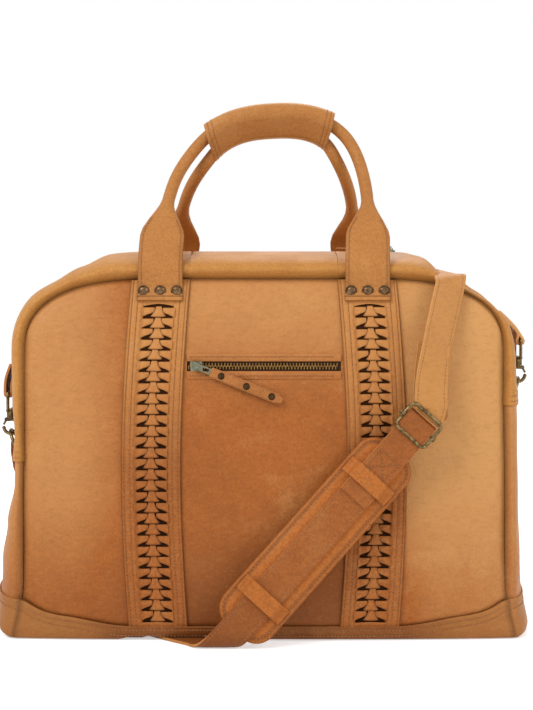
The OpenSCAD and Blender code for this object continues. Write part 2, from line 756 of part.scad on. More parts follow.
module swivel() {
  translate([hook_x, 0, claw_up]) {
    difference() {
      union() {
        translate([0, 0, 9.6]) cylinder(r = 4.3, h = 7.8);
        translate([0, 0, 17.6]) rotate([90, 0, 0]) cylinder(r = 1.6, h = 2 * loop_hw, center = true);
      }
      translate([0, 0, 8]) cylinder(r = 2.6, h = 4);
      translate([0, 0, 11.7]) cylinder(r = 3.3, h = 3.6);
    }
    translate([0, 0, 35]) rotate([90, 0, 0]) cylinder(r = 1.6, h = 2 * loop_hw, center = true);
    for (s = [-1, 1]) {
      translate([0, s * loop_hw, 17.6]) cylinder(r = 1.6, h = 17.4);
      for (z = [17.6, 35]) translate([0, s * loop_hw, z]) sphere(r = 1.9);
    }
  }
}

module left_ring_tab() {
  color([0.72, 0.46, 0.24]) on_side(-1, ring_left) ring_tab();
}

module right_ring_tab() {
  color([0.72, 0.46, 0.24]) on_side(1, ring_right) ring_tab();
}

module left_ring() {
  color([0.5, 0.43, 0.28]) on_side(-1, ring_left) d_ring();
}

module right_ring() {
  color([0.5, 0.43, 0.28]) on_side(1, ring_right) d_ring();
}

module left_hook() {
  color([0.5, 0.43, 0.28]) on_side(-1, ring_left) hook();
}

module right_hook() {
  color([0.5, 0.43, 0.28]) on_side(1, ring_right) hook();
}

module left_hook_gate() {
  color([0.5, 0.43, 0.28]) on_side(-1, ring_left) hook_gate();
}

module right_hook_gate() {
  color([0.5, 0.43, 0.28]) on_side(1, ring_right) hook_gate();
}

module left_swivel() {
  color([0.5, 0.43, 0.28]) on_side(-1, ring_left) swivel();
}

module right_swivel() {
  color([0.5, 0.43, 0.28]) on_side(1, ring_right) swivel();
}

// shoulder strap: rows of places with the direction that the face looks
lift_s = 0.6 + strap_t / 2;
lift_b = lift_s + 0.5;
floor_z = 0.1 + strap_t / 2;
fold_s = 1.6 + 0.35 + strap_t / 2;
wj = [-1, -0.5, 0, 0.5, 1] * strap_w / 2;
function rows_of(S) = let (n = len(S)) [for (i = [0:n - 1])
  let (t = unit(S[min(n - 1, i + 1)][0] - S[max(0, i - 1)][0]), m = unit(S[i][1] - t * (t * S[i][1])))
  [for (w = wj) [S[i][0] + cross(t, m) * w, m]]];

module ribbon(R) {
  function face(d) = [for (r = R) [for (q = r) q[0] + q[1] * d]];
  sheet(face(strap_t / 2), face(-strap_t / 2));
}

// folded end round the bar of a snap hook
function fold_end(sg, z) = concat(
  [for (h = [30, 15]) [[sg * (hook_x + fold_s), 0, z + h], [-sg, 0, 0]]],
  [for (a = [0:30:180])
    [[sg * (hook_x + fold_s * cos(a)), 0, z - fold_s * sin(a)], [-sg * cos(a), 0, sin(a)]]],
  [[[sg * (hook_x - fold_s), 0, z + 10], [sg, 0, 0]]]
);
function on_gus(sg, y, zz) = let (u = sg * (u_end - zz), h = yf(outline(u)[1]), t = 0.5 - y / (2 * h))
  [gus_in(u, t, -lift_s), gus_n(u, t)];
function back_n(x, z) = unit([y_front(x + 1, z) - y_front(x - 1, z), 2, 0]);
function on_back(x, z) = [[x, -y_front(x, z) + lift_b, z], back_n(x, z)];

arc_r = 78;
left_bar = ring_left + bar_up;
right_bar = ring_right + bar_up;
arc_z = left_bar + 24;
function left_arc(a) = let (s = arc_r + arc_r * cos(a), z = arc_z + arc_r * sin(a))
  s < 106 ? on_gus(-1, s * 0.92, z) : on_back(-panel_hw + (s - 118), z);
edge_r = 9;
edge_y = -y_front(back_x, 11) + lift_b - edge_r;
back_run = concat(
  [for (a = [176, 164, 152, 140, 128, 116, 104, 92, 80, 72]) left_arc(a)],
  [for (a = [52, 42, 32, 21, 10, 0]) left_arc(a)],
  [for (z = [arc_z - 30, 200, 150, 100, 60, 30, 18]) on_back(back_x, z)],
  [for (a = [0:15:90])
    [[back_x, edge_y + edge_r * cos(a), floor_z + edge_r * (1 - sin(a))], [0, cos(a), -sin(a)]]],
  [for (i = [1:14]) let (p = bez(under, i / 14)) [[p[0], p[1], floor_z], -Z]]
);

// front run: flat on the floor, round a bend and up a leaning plane
bend_r = 12;
bend_y = 151.4;
lean_p = 8.4;
bend_c = bend_y + bend_r * (90 + lean_p) * PI / 180;
bend_top = [-bend_y - bend_r * cos(lean_p), floor_z + bend_r + bend_r * sin(lean_p)];
buckle_c = bend_c + (buckle_z - bend_top[1]) / cos(lean_p);
dir_a = 0.67;
dir_c = 0.742;
function fold(a, c) = c < bend_y ? [[a, -c, floor_z], -Z]
  : c < bend_c ? let (f = (c - bend_y) / bend_r * 180 / PI)
    [[a, -bend_y - bend_r * sin(f), floor_z + bend_r - bend_r * cos(f)], [0, -sin(f), -cos(f)]]
  : let (k = c - bend_c) [[a, bend_top[0] + k * sin(lean_p), bend_top[1] + k * cos(lean_p)], plane_n];
plane_n = [0, -cos(lean_p), sin(lean_p)];
plane_t = [dir_a, dir_c * sin(lean_p), dir_c * cos(lean_p)];
plane_b = cross(plane_t, plane_n);
function line_a(c) = buckle_x - (buckle_c - c) * dir_a / dir_c;
function fold_row(c) = [for (w = wj) fold(line_a(c) + dir_c * w, c - dir_a * w)];
buckle_p = fold(buckle_x, buckle_c)[0];
bar_n = 1.5 + 0.3 + strap_t / 2;
bar_p = buckle_p + plane_n * bar_n;
function flat_row(p, n) = [for (w = wj) [p + plane_b * w, n]];
front_c = [140, 146, 152, 158, 164, 170, 176, 184, 192, 205, 235, 270, 305, 335, 352];
front_rows = [for (c = front_c) fold_row(c)];
tail_rows = concat(
  [for (a = [0:30:180]) flat_row(bar_p - plane_n * bar_n * cos(a) + plane_t * bar_n * sin(a),
    plane_n * cos(a) - plane_t * sin(a))],
  [for (k = [[10, 6.7], [18, 6.7], [27, 5.4], [38, 3.3], [58, 3.3], [92, 3.3]])
    flat_row(buckle_p - plane_t * k[0] + plane_n * k[1], -plane_n)]
);

module strap_long() {
  color([0.64, 0.39, 0.19])
    ribbon(concat(rows_of(concat(fold_end(-1, left_bar), back_run)), front_rows, tail_rows));
}

// short length: over the right shoulder and down to the upper bar of the buckle
frame_l = 14;
turn_r = 45;
top_z = u_end - 152;
up_rows = [for (z = [right_bar + 24, right_bar + 32]) if (z < top_z - turn_r - 2) on_gus(1, 0, z)];
turn_rows = [for (a = [0:15:90]) on_gus(1, -turn_r + turn_r * cos(a), top_z - turn_r + turn_r * sin(a))];
over_rows = [for (y = [-56, -66, -75, -82, -87, -91]) on_gus(1, y, top_z)];
top_p = bar_p + plane_t * frame_l;
top_n = 1.6 + 0.35 + strap_t / 2;
hang_a = over_rows[5][0] + [-1, -7.5, -8];
hang_e = top_p + plane_n * top_n;
hang = [hang_a, hang_a + [-16, -14, -58], hang_e + plane_t * 24, hang_e + plane_t * 2];
hang_rows = [for (i = [0:12]) let (t = i / 12) [bez(hang, t), unit(lerp([0.1, -0.95, 0.3], plane_n, t))]];
turn_back = [for (a = [0:30:180]) flat_row(top_p + plane_n * top_n * cos(a) - plane_t * top_n * sin(a),
  plane_n * cos(a) - plane_t * sin(a))];
inner_rows = [for (i = [0:4]) [bez(hang, 1 - 0.15 * i) - plane_n * (2 * top_n - i * i / 8), -plane_n]];

module strap_short() {
  color([0.76, 0.52, 0.29]) ribbon(concat(
    rows_of(concat(fold_end(1, right_bar), up_rows, turn_rows, over_rows, hang_rows)),
    turn_back, rows_of(inner_rows)));
}

// slide buckle
frame_w = strap_w / 2 + 0.7 + 1.6;

module on_buckle() {
  translate(bar_p) rotate([-lean_p, 0, 0]) rotate([0, 90 - atan2(dir_c, dir_a), 0]) children();
}

module buckle_frame() {
  color([0.5, 0.43, 0.28]) on_buckle() difference() {
    union() {
      for (s = [-1, 1]) {
        translate([0, 0, s * frame_l]) rotate([0, 90, 0])
          cylinder(r = 1.6, h = 2 * frame_w, center = true);
        translate([s * frame_w, 0, 0]) cylinder(r = 1.6, h = 2 * frame_l, center = true);
        translate([s * frame_w, 0, 0]) rotate([0, 90, 0]) cylinder(r = 2.9, h = 3.6, center = true);
        for (e = [-1, 1]) translate([s * frame_w, 0, e * frame_l]) sphere(r = 1.9);
      }
    }
    rotate([0, 90, 0]) cylinder(r = 1.7, h = 2 * frame_w + 10, center = true);
  }
}

module buckle_bar() {
  color([0.5, 0.43, 0.28]) on_buckle() {
    rotate([0, 90, 0]) cylinder(r = 1.5, h = 2 * frame_w + 6, center = true);
    for (s = [-1, 1]) translate([s * (frame_w + 2.9), 0, 0]) rotate([0, 90, 0])
      cylinder(r = 2.3, h = 1.6, center = true);
  }
}

// shoulder pad on the strap, its middle this far below the buckle
pad_down = 144;
pad_c = buckle_p - plane_t * pad_down;
pad_top = -strap_t / 2 - 0.4;
function on_pad(l, w, n) = pad_c + plane_t * l + plane_b * w + plane_n * n;
function pad_edge(a) = let (e = 0.42) [pad_len / 2 * soft(cos(a), e), pad_w / 2 * soft(sin(a), e)];
pad_r = [0, 0.3, 0.55, 0.75, 0.88, 0.96, 1];
function pad_ring(r, n) = [for (a = [3.75:7.5:359]) let (p = pad_edge(a) * r) on_pad(p[0], p[1], n)];
pad_rings = concat(
  [for (i = [0:6]) pad_ring(max(0.04, pad_r[i]), pad_top - pad_t + 2.4 * pow(pad_r[i], 6))],
  [for (i = [6:-1:0]) pad_ring(max(0.04, pad_r[i]), pad_top - 2.4 * pow(pad_r[i], 6))]
);

module shoulder_pad() {
  color([0.62, 0.38, 0.19]) loft(pad_rings);
}

bridge_l = 74;
bridge_w = 16;
bridge_n = 3.3 + strap_t / 2 + 0.6;
in_w = strap_w / 2 + 0.7;

module pad_bridges() {
  over = [[in_w + 2, bridge_n + 2], [in_w + 3.2, 0.5], [in_w + 10, 0.5]];
  below = [[in_w, bridge_n], [in_w + 1.2, -1.4], [in_w + 10, -1.4]];
  function arch_of(h) = concat([for (k = [2:-1:0]) left_of(h[k])], h);
  function rows(h, l) = [for (e = [-1, 1] * bridge_w / 2) [for (p = arch_of(h)) on_pad(l + e, p[0], p[1])]];
  color([0.6, 0.36, 0.18]) for (l = [-bridge_l, bridge_l]) sheet(rows(over, l), rows(below, l));
}

front_panel();
back_panel();
base_panel();
base_band();
base_board();
left_gusset();
right_gusset();
top_gusset_front();
top_gusset_back();
front_flap();
back_flap();
flap_tape_front();
flap_tape_back();
flap_teeth_front();
flap_teeth_back();
zip_end_tapes();
zip_end_teeth();
main_slider();
main_pull_link();
main_pull_tab();
pocket_tape();
pocket_teeth();
pocket_welts();
pocket_bag();
pocket_slider();
pocket_pull_link();
pocket_pull_tab();
pocket_pull_rivets();
front_lining();
back_lining();
front_left_band();
front_right_band();
back_bands();
front_left_braid();
front_right_braid();
back_braids();
front_tabs();
back_tabs();
front_rivets();
back_rivets();
front_handle();
back_handle();
handle_wrap();
wrap_back();
left_ring_tab();
right_ring_tab();
left_ring();
right_ring();
left_hook();
right_hook();
left_hook_gate();
right_hook_gate();
left_swivel();
right_swivel();
strap_long();
strap_short();
buckle_frame();
buckle_bar();
shoulder_pad();
pad_bridges();
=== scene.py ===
import math
import random

import bpy
from mathutils import Matrix, Vector, noise


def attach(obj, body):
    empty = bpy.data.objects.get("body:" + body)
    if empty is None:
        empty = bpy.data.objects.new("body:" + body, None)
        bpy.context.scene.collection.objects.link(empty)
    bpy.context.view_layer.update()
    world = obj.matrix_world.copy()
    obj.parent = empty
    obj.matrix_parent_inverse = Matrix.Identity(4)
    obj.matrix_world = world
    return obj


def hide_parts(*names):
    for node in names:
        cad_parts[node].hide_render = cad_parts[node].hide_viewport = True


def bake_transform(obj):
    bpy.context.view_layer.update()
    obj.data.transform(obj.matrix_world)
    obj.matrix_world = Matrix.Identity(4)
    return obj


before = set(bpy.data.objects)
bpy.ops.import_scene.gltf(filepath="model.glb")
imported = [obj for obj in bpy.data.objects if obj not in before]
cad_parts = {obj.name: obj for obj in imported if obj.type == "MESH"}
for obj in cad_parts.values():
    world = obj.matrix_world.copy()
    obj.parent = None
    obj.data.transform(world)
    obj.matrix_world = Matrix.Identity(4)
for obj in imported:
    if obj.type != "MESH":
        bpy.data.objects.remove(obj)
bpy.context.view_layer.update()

# Sizes are in millimetres, as in the part's source. MM turns them into metres.
MM = 0.001
Y = Vector((0, 1, 0))
Z = Vector((0, 0, 1))

# Body
PANEL_HALF = 232
BASE_FLARE = 10
SEAM_H = 346
BASE_DEPTH = 120
TOP_DEPTH = 95
SHOULDER_W = 130
SHOULDER_H = 71
SHOULDER_POWER = 2.6
SHOULDER_LEN = 150
SIDE_BULGE = 20
BELLY = 10
BAND_MID = 12
BAND_COR = 36
SEAM_LEFT = 170
SEAM_RIGHT = 224
TOP_FLAT = PANEL_HALF - SHOULDER_W
SHOULDER_Z = SEAM_H - SHOULDER_H
SIDE_START = TOP_FLAT + SHOULDER_LEN
OUTLINE_END = SIDE_START + SHOULDER_Z

# Softness of the sewn body
SEAM_DIP = 2.6
PILLOW_DIP = 3.2
SEAM_REACH = 3.2
PILLOW = 1.2
ROLL_FORWARD = 7.5
ROLL_TUCK = 5.4
# How far the gusset stands out at each length along the outline, left end first
BULGES = [(-520, 27), (-490, 32), (-455, 31), (-420, 25), (-380, 16), (-335, 15), (-300, 19), (-240, 20),
          (-205, 20), (-175, 17), (-150, 22), (-128, 29), (-60, 29), (60, 29), (120, 29), (130, 27),
          (152, 10), (178, 7), (205, 9), (230, 15), (260, 19.5), (330, 20.5), (400, 22), (460, 25),
          (520, 24)]
# The bed that the strap lies on at the right shoulder
STRAP_BED = [(120, 11.5), (152, 11), (178, 8.4), (205, 9.8), (230, 15.4), (260, 19.8), (300, 20.5)]
# Thickness of the leather in the panels, and in the strips and sides
PANEL_T = 2.4
STRIP_T = 2.2
# How far the top strips stand over the side leathers at their seam, and over what length
SEAM_STEP = 1.3
SEAM_RUN = 16
# Words in the names of pieces, with the side that each means
FACES = (("front", 1), ("back", -1))
ENDS = (("left", -1), ("right", 1))

# Bands and pocket
BAND_X = 100
BAND_BOW = 8
BRAID_PITCH = 10.0
BRAID_LOW = 24
BRAID_HIGH = 314
SLIT_HALF = 14.3
BAND_STITCH = (20.3, 25.7)
ZIP_Z = 262
ZIP_HALF = 74
ZIP_SLOT = 5.2
POCKET_PLANE = 2.6

# Handles
HANDLE_HALF = 100
FOLD_Z = 350
FOLD_Y = 101.861
TAB_DROP = 25
TAB_HALF = 21.5
TAB_T = 2.6
TUBE_R = 6.2
BACK_IN = 8
LEG = 50
ARCH = 136
REACH = LEG + ARCH
RISE = 0.8796
ARCH_POWER = 0.8
OUT_POWER = 1.2
# Heights between which the leather of a handle folds, in metres
MEET_Y = -20
DROP_N = 12.98
DROP_Y = 10.34
WRAP_R = 11
WRAP_T = 2.2
WRAP_LEFT = 37
WRAP_RIGHT = 32
WRAP_LEAN = 218.6
WRAP_STAND = 0.42
LEAN_X = 9
TILT = 0.05
RIVET_PITCH = 16
RIVET_Z = FOLD_Z - TAB_DROP + 9

# Main zip
MOUTH_HALF = 71
MOUTH_T = 0.15
ZIP_TOP_HALF = 150
ZIP_TOP_U = 126
ZIP_EDGE_T = 0.5 - 6.2 / (2 * TOP_DEPTH)
TEETH_Z = 371.9
TOOTH_PITCH = 3.0

# Strap
STRAP_W = 31
STRAP_T = 2.8
GUSSET_X = PANEL_HALF + SIDE_BULGE
RING_LEFT = 178
RING_RIGHT = 232
RING_X = GUSSET_X + 0.6 + 2 + 0.3 + 1.8
HOOK_X = 262.2
BAR_UP = 16.4744 + 35
LIFT_S = 0.6 + STRAP_T / 2
LIFT_B = LIFT_S + 0.5
FLOOR_Z = 0.1 + STRAP_T / 2
FOLD_S = 1.6 + 0.35 + STRAP_T / 2
LEAN_P = 8.4
DIR_A = 0.67
DIR_C = 0.742
BUCKLE_X = 145
BUCKLE_Z = 207
PAD_HALF_L = 114
PAD_HALF_W = 30
PAD_T = 7
PAD_DOWN = 144

random.seed(7)


def lerp(a, b, t):
    return a + (b - a) * t


def clamp(t):
    return min(1.0, max(0.0, t))


def smooth(t):
    t = clamp(t)
    return t * t * (3 - 2 * t)


def sind(a):
    return math.sin(math.radians(a))


def cosd(a):
    return math.cos(math.radians(a))


def signed_power(c, q):
    return math.copysign(abs(c) ** q, c)


def from_table(table, x):
    for (x0, y0), (x1, y1) in zip(table, table[1:]):
        if x <= x1:
            return lerp(y0, y1, smooth((x - x0) / (x1 - x0)))
    return table[-1][1]


def hump(x, width):
    return math.exp(-((x / width) ** 2))


def pick(items, k):
    """Item at share k of the way through a list, k from 0 to 1."""
    return items[round(k * (len(items) - 1))]


def even(k):
    """Steps from 0 to 1 that draw closer at both ends."""
    return (1 - math.cos(math.pi * k)) / 2


# Form of the bag
def panel_lean(z):
    return -lerp(BASE_DEPTH, TOP_DEPTH, z / SEAM_H)


def half_width(z):
    return PANEL_HALF + BASE_FLARE * max(0, 1 - z / 60) ** 2


def top_of(x):
    if abs(x) <= TOP_FLAT:
        return SEAM_H
    share = max(0, 1 - ((abs(x) - TOP_FLAT) / SHOULDER_W) ** SHOULDER_POWER)
    return SHOULDER_Z + SHOULDER_H * share ** (1 / SHOULDER_POWER)


def base_seam(x):
    rise = 0.42 * smooth((abs(x) - 125) / 80) + 0.58 * clamp((abs(x) - 190) / 42) ** 2
    return lerp(BAND_MID, BAND_COR, rise)


def belly(x, z):
    across = max(0, 1 - (abs(x) / half_width(z)) ** 3)
    up = max(0, sind(180 * clamp((z + 60) / (top_of(x) + 60)))) ** 0.6
    return BELLY * across * up


def plain_front(x, z):
    return panel_lean(z) - belly(x, z)


def crumple(x, z):
    """Soft waves of slack leather, fading out towards the fittings."""
    by_pocket = max(smooth((abs(z - ZIP_Z) - 12) / 14), smooth((abs(x) - 76) / 14))
    fade = smooth((306 - z) / 60) * by_pocket
    wide = noise.noise(Vector((x * 0.010, z * 0.012, 3.1)))
    fine = noise.noise(Vector((x * 0.027, z * 0.030, 8.2)))
    return fade * (2.0 * wide + 0.7 * fine)


def edge_distance(x, z):
    return max(0, min(half_width(z) - abs(x), top_of(x) - z, z - base_seam(x)))


def front(x, z):
    """Depth of the sewn front: it dips at the seams and is pillowed between them."""
    e = edge_distance(x, z)
    rim = max(0, min(half_width(z) - abs(x), top_of(x) - z))
    dip = SEAM_DIP * hump(e, SEAM_REACH) + PILLOW_DIP * hump(rim, 17)
    return plain_front(x, z) + dip - PILLOW * (1 - math.exp(-e / 18)) - crumple(x, z)


def side_of(u):
    if u < TOP_FLAT:
        return (u, SEAM_H)
    if u < SIDE_START:
        f = (1 - (u - TOP_FLAT) / SHOULDER_LEN) * 90
        q = 2 / SHOULDER_POWER
        return (TOP_FLAT + SHOULDER_W * max(0, cosd(f)) ** q, SHOULDER_Z + SHOULDER_H * sind(f) ** q)
    return (half_width(OUTLINE_END - u), OUTLINE_END - u)


def outline(u):
    x, z = side_of(abs(u))
    return (x, z) if u >= 0 else (-x, z)


def out_dir(u):
    a, b = outline(u + 1), outline(u - 1)
    return Vector((b[1] - a[1], a[0] - b[0])).normalized()


def bulge_at(u):
    return from_table(BULGES, u)


def puff(t):
    return max(0, 1 - abs(2 * t - 1) ** 2.5) ** 0.4


def plain_roll(u, t, bulge=None):
    p, n = outline(u), out_dir(u)
    o = (bulge_at(u) if bulge is None else bulge) * puff(t)
    return Vector((p[0] + n[0] * o, lerp(panel_lean(p[1]), -panel_lean(p[1]), t), p[1] + n[1] * o))


def roll(u, t):
    """Gusset surface: tucked in at the seam, then rolling forward over the panel's edge."""
    p = plain_roll(u, t)
    s = puff(t)
    tuck = ROLL_TUCK * hump(bulge_at(u) * s, 6)
    forward = ROLL_FORWARD * smooth((OUTLINE_END - abs(u) - 30) / 70)
    p.y += (forward * 4 * s * (1 - s) - tuck) * (-1 if t < 0.5 else 1)
    return p


def normal_of(surface, u, t):
    du = surface(u + 1, t) - surface(u - 1, t)
    dt = surface(u, min(1, t + 0.004)) - surface(u, max(0, t - 0.004))
    return du.cross(dt).normalized()


def lifted(surface, u, t, d):
    return surface(u, t) + normal_of(surface, u, t) * d


# Tools of the bench
def deselect():
    if bpy.context.object and bpy.context.object.mode != 'OBJECT':
        bpy.ops.object.mode_set(mode='OBJECT')
    bpy.ops.object.select_all(action='DESELECT')


def use(piece):
    deselect()
    piece.select_set(True)
    bpy.context.view_layer.objects.active = piece


def edit_all(piece):
    use(piece)
    bpy.ops.object.mode_set(mode='EDIT')
    bpy.ops.mesh.select_all(action='SELECT')


def end_edit():
    bpy.ops.object.mode_set(mode='OBJECT')


def apply(piece, kind, **settings):
    use(piece)
    modifier = piece.modifiers.new(kind.title(), kind)
    for key, value in settings.items():
        setattr(modifier, key, value)
    bpy.ops.object.modifier_apply(modifier=modifier.name)


def turn_over(piece):
    edit_all(piece)
    bpy.ops.mesh.flip_normals()
    end_edit()


def keep_values(mesh, name, values):
    layer = mesh.attributes.new(name, 'FLOAT', 'POINT')
    layer.data.foreach_set("value", values)


def shaped_grid(name, columns, rows, place, painted_shade=None, flip=False, painted_lighting=None):
    """A grid whose points go to place(across, along), both running from 0 to 1."""
    deselect()
    bpy.ops.mesh.primitive_grid_add(x_subdivisions=columns, y_subdivisions=rows, size=2)
    piece = bpy.context.object
    piece.name = piece.data.name = name
    spots = [((v.co.x + 1) / 2, (v.co.y + 1) / 2) for v in piece.data.vertices]
    for v, (a, b) in zip(piece.data.vertices, spots):
        v.co = place(a, b) * MM
    # Painted shade in seams, creases, grooves and under edges, kept as a point attribute that the leather
    # tone turns near black.
    if painted_shade:
        keep_values(piece.data, "painted_shade", [clamp(painted_shade(a, b)) for a, b in spots])
    # Painted light and shade, kept as a point attribute: above 0 paler, below 0 deeper.
    if painted_lighting:
        keep_values(piece.data, "painted_lighting", [painted_lighting(a, b) for a, b in spots])
    if flip:
        turn_over(piece)
    return piece


def close_up(piece, fill=True):
    """Merge the seam and poles of a tube, then close its ends."""
    edit_all(piece)
    bpy.ops.mesh.remove_doubles(threshold=0.00001)
    if fill:
        bpy.ops.mesh.fill_holes(sides=0)
    bpy.ops.mesh.select_all(action='SELECT')
    bpy.ops.mesh.normals_make_consistent(inside=False)
    end_edit()


def thicken(piece, thickness, round_by=0.0, rim=0):
    apply(piece, 'SOLIDIFY', thickness=thickness * MM, offset=-1, use_even_offset=False,
          material_offset_rim=rim)
    if round_by:
        apply(piece, 'BEVEL', width=round_by * MM, segments=2, limit_method='ANGLE',
              angle_limit=math.radians(50))


def dress(piece, material, slot, body, *nodes, angle=40):
    """Give a piece its finish and the body it moves with, and hide the CAD nodes it stands for."""
    use(piece)
    if not piece.data.materials:
        piece.data.materials.append(material)
    bpy.ops.object.shade_smooth_by_angle(angle=math.radians(angle))
    if body:
        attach(piece, body)
    if nodes:
        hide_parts(*nodes)
    return piece


def join(name, pieces):
    deselect()
    for piece in pieces:
        piece.select_set(True)
    bpy.context.view_layer.objects.active = pieces[0]
    bpy.ops.object.join()
    pieces[0].name = pieces[0].data.name = name
    return pieces[0]


def copies_of(name, pattern, places):
    """One mesh that holds a copy of the pattern at each place."""
    points = [v.co.copy() for v in pattern.data.vertices]
    faces = [tuple(f.vertices) for f in pattern.data.polygons]
    # The pattern's painted shade goes with every copy.
    painted_shade = pattern.data.attributes.get("painted_shade")
    shades = [d.value for d in painted_shade.data] if painted_shade else []
    all_points, all_faces = [], []
    for put in places:
        k = len(all_points)
        all_points.extend(put(p) for p in points)
        all_faces.extend(tuple(i + k for i in f) for f in faces)
    mesh = bpy.data.meshes.new(name)
    mesh.from_pydata(all_points, [], all_faces)
    if shades:
        keep_values(mesh, "painted_shade", shades * len(places))
    piece = bpy.data.objects.new(name, mesh)
    bpy.context.collection.objects.link(piece)
    return piece


def put_by(matrix):
    return lambda p: matrix @ p


def throw_away(piece):
    mesh = piece.data
    bpy.data.objects.remove(piece)
    bpy.data.meshes.remove(mesh)


# Finishes
class Nodes:
    """Short ways to add nodes to one tree and to link them."""

    def __init__(self, tree):
        self.tree = tree

    def add(self, kind, **values):
        node = self.tree.nodes.new(kind)
        for key, value in values.items():
            if key in node.inputs:
                node.inputs[key].default_value = value
            else:
                setattr(node, key, value)
        return node

    def link(self, value, socket):
        if hasattr(value, "links"):
            self.tree.links.new(value, socket)
        else:
            socket.default_value = value

    def where(self):
        return self.add('ShaderNodeTexCoord').outputs['Object']

    def kept(self, name):
        return self.add('ShaderNodeAttribute', attribute_name=name).outputs['Fac']

    def calc(self, operation, a, b=0.0):
        node = self.add('ShaderNodeMath', operation=operation)
        self.link(a, node.inputs[0])
        self.link(b, node.inputs[1])
        return node.outputs[0]

    def times(self, a, b):
        return self.calc('MULTIPLY', a, b)

    def plus(self, a, b):
        return self.calc('ADD', a, b)

    def mix(self, factor, a, b):
        node = self.add('ShaderNodeMix', data_type='RGBA')
        for i, value in ((0, factor), (6, a), (7, b)):
            self.link(value, node.inputs[i])
        return node.outputs[2]

    def noise(self, where, scale, detail=3.0, rough=0.55, distortion=0.0):
        node = self.add('ShaderNodeTexNoise', Scale=scale, Detail=detail, Roughness=rough,
                        Distortion=distortion)
        self.link(where, node.inputs['Vector'])
        return node.outputs[0]

    def ranged(self, value, low, high, to_low=0.0, to_high=1.0):
        node = self.add('ShaderNodeMapRange')
        for i, given in enumerate((value, low, high, to_low, to_high)):
            self.link(given, node.inputs[i])
        return node.outputs[0]

    def bump(self, shader, height, strength, distance):
        node = self.add('ShaderNodeBump', Strength=strength, Distance=distance * MM)
        self.link(height, node.inputs['Height'])
        self.link(node.outputs['Normal'], shader.inputs['Normal'])


def new_group(name, inputs, outputs):
    group = bpy.data.node_groups.new(name, 'ShaderNodeTree')
    for label, value in inputs.items():
        kind = 'NodeSocketFloat' if isinstance(value, float) else 'NodeSocketColor'
        group.interface.new_socket(label, in_out='INPUT', socket_type=kind).default_value = value
    for label in outputs:
        kind = 'NodeSocketColor' if label == "Color" else 'NodeSocketFloat'
        group.interface.new_socket(label, in_out='OUTPUT', socket_type=kind)
    n = Nodes(group)
    return group, n, n.add('NodeGroupInput').outputs, n.add('NodeGroupOutput').inputs


def build_tone_group():
    """Colour of waxed leather: cloudy patches, fine mottling and streaks; then painted light and shade,
    paler and deeper by one point attribute, and near black painted shade in seams, creases and grooves by
    another.
    """
    group, n, given, out = new_group(
        "leather tone",
        {"Tan": (0.4, 0.15, 0.04, 1), "Deep": (0.2, 0.06, 0.02, 1), "Pale": (0.6, 0.3, 0.1, 1),
         "Cloud": 1.0, "Speckle": 1.0}, ("Color", "Cloud"))
    tan, deep, pale, clouding, speckle = [given[k] for k in ("Tan", "Deep", "Pale", "Cloud", "Speckle")]
    where = n.where()
    wide = n.noise(where, 7.0, 3.0, 0.55, 0.6)
    middle = n.noise(where, 34.0, 5.0, 0.62)
    fine = n.noise(where, 430.0, 4.0, 0.7)
    cloud = n.plus(n.times(wide, 0.62), n.times(middle, 0.38))
    color = n.mix(n.times(n.ranged(cloud, 0.50, 0.34), clouding), tan, deep)
    color = n.mix(n.times(n.ranged(cloud, 0.52, 0.70), clouding), color, pale)
    specks = n.times(n.ranged(fine, 0.56, 0.40), speckle)
    color = n.mix(n.times(specks, 0.38), color, deep)
    # Painted light and shade: paler where the attribute is above 0, deeper where it is below.
    painted_lighting = n.kept("painted_lighting")
    color = n.mix(n.ranged(painted_lighting, 0.0, 1.0), color, pale)
    color = n.mix(n.ranged(painted_lighting, 0.0, -1.0), color, deep)
    stretch = n.add('ShaderNodeVectorMath', operation='MULTIPLY')
    n.link(where, stretch.inputs[0])
    n.link((0.6, 1.0, 1.25), stretch.inputs[1])
    streak = n.noise(stretch.outputs['Vector'], 210.0, 6.0, 0.75)
    lined = n.times(n.ranged(streak, 0.50, 0.32), speckle)
    color = n.mix(n.times(lined, 0.20), color, deep)
    sheen = n.times(n.ranged(streak, 0.52, 0.70), speckle)
    color = n.mix(n.times(sheen, 0.12), color, pale)
    # Painted shade: near black where the shade attribute is 1.
    shadow_tone = n.mix(0.85, deep, (0.014, 0.005, 0.002, 1))
    n.link(n.mix(n.kept("painted_shade"), color, shadow_tone), out['Color'])
    n.link(cloud, out['Cloud'])
    return group


def build_grain_group():
    """Pores and hair cells of leather, with soft pull-up wrinkles."""
    group, n, given, out = new_group("leather grain", {"Pores": 1.0, "Wrinkle": 0.4}, ("Height",))
    where = n.where()
    cells = n.add('ShaderNodeTexVoronoi', Scale=560.0, feature='SMOOTH_F1')
    n.link(where, cells.inputs['Vector'])
    pores = n.plus(cells.outputs['Distance'], n.noise(where, 1300.0, 2.0))
    folds = n.noise(where, 62.0, 4.0, 0.6, 1.2)
    wrinkles = n.times(folds, n.times(given['Wrinkle'], 6.0))
    n.link(n.plus(n.times(pores, given['Pores']), wrinkles), out['Height'])
    return group


def build_weave_group():
    """Plain weave of tape and lining."""
    group, n, given, out = new_group("plain weave", {"Threads": 900.0}, ("Height", "Thread"))
    where = n.where()
    axes = n.add('ShaderNodeSeparateXYZ')
    n.link(where, axes.inputs[0])
    waves = [n.calc('SINE', n.times(axes.outputs[i], given['Threads'])) for i in range(3)]
    height = n.ranged(n.times(waves[0], n.plus(waves[1], waves[2])), -1.6, 1.6)
    n.link(height, out['Height'])
    n.link(n.times(height, n.noise(where, 240.0, 3.0)), out['Thread'])
    return group


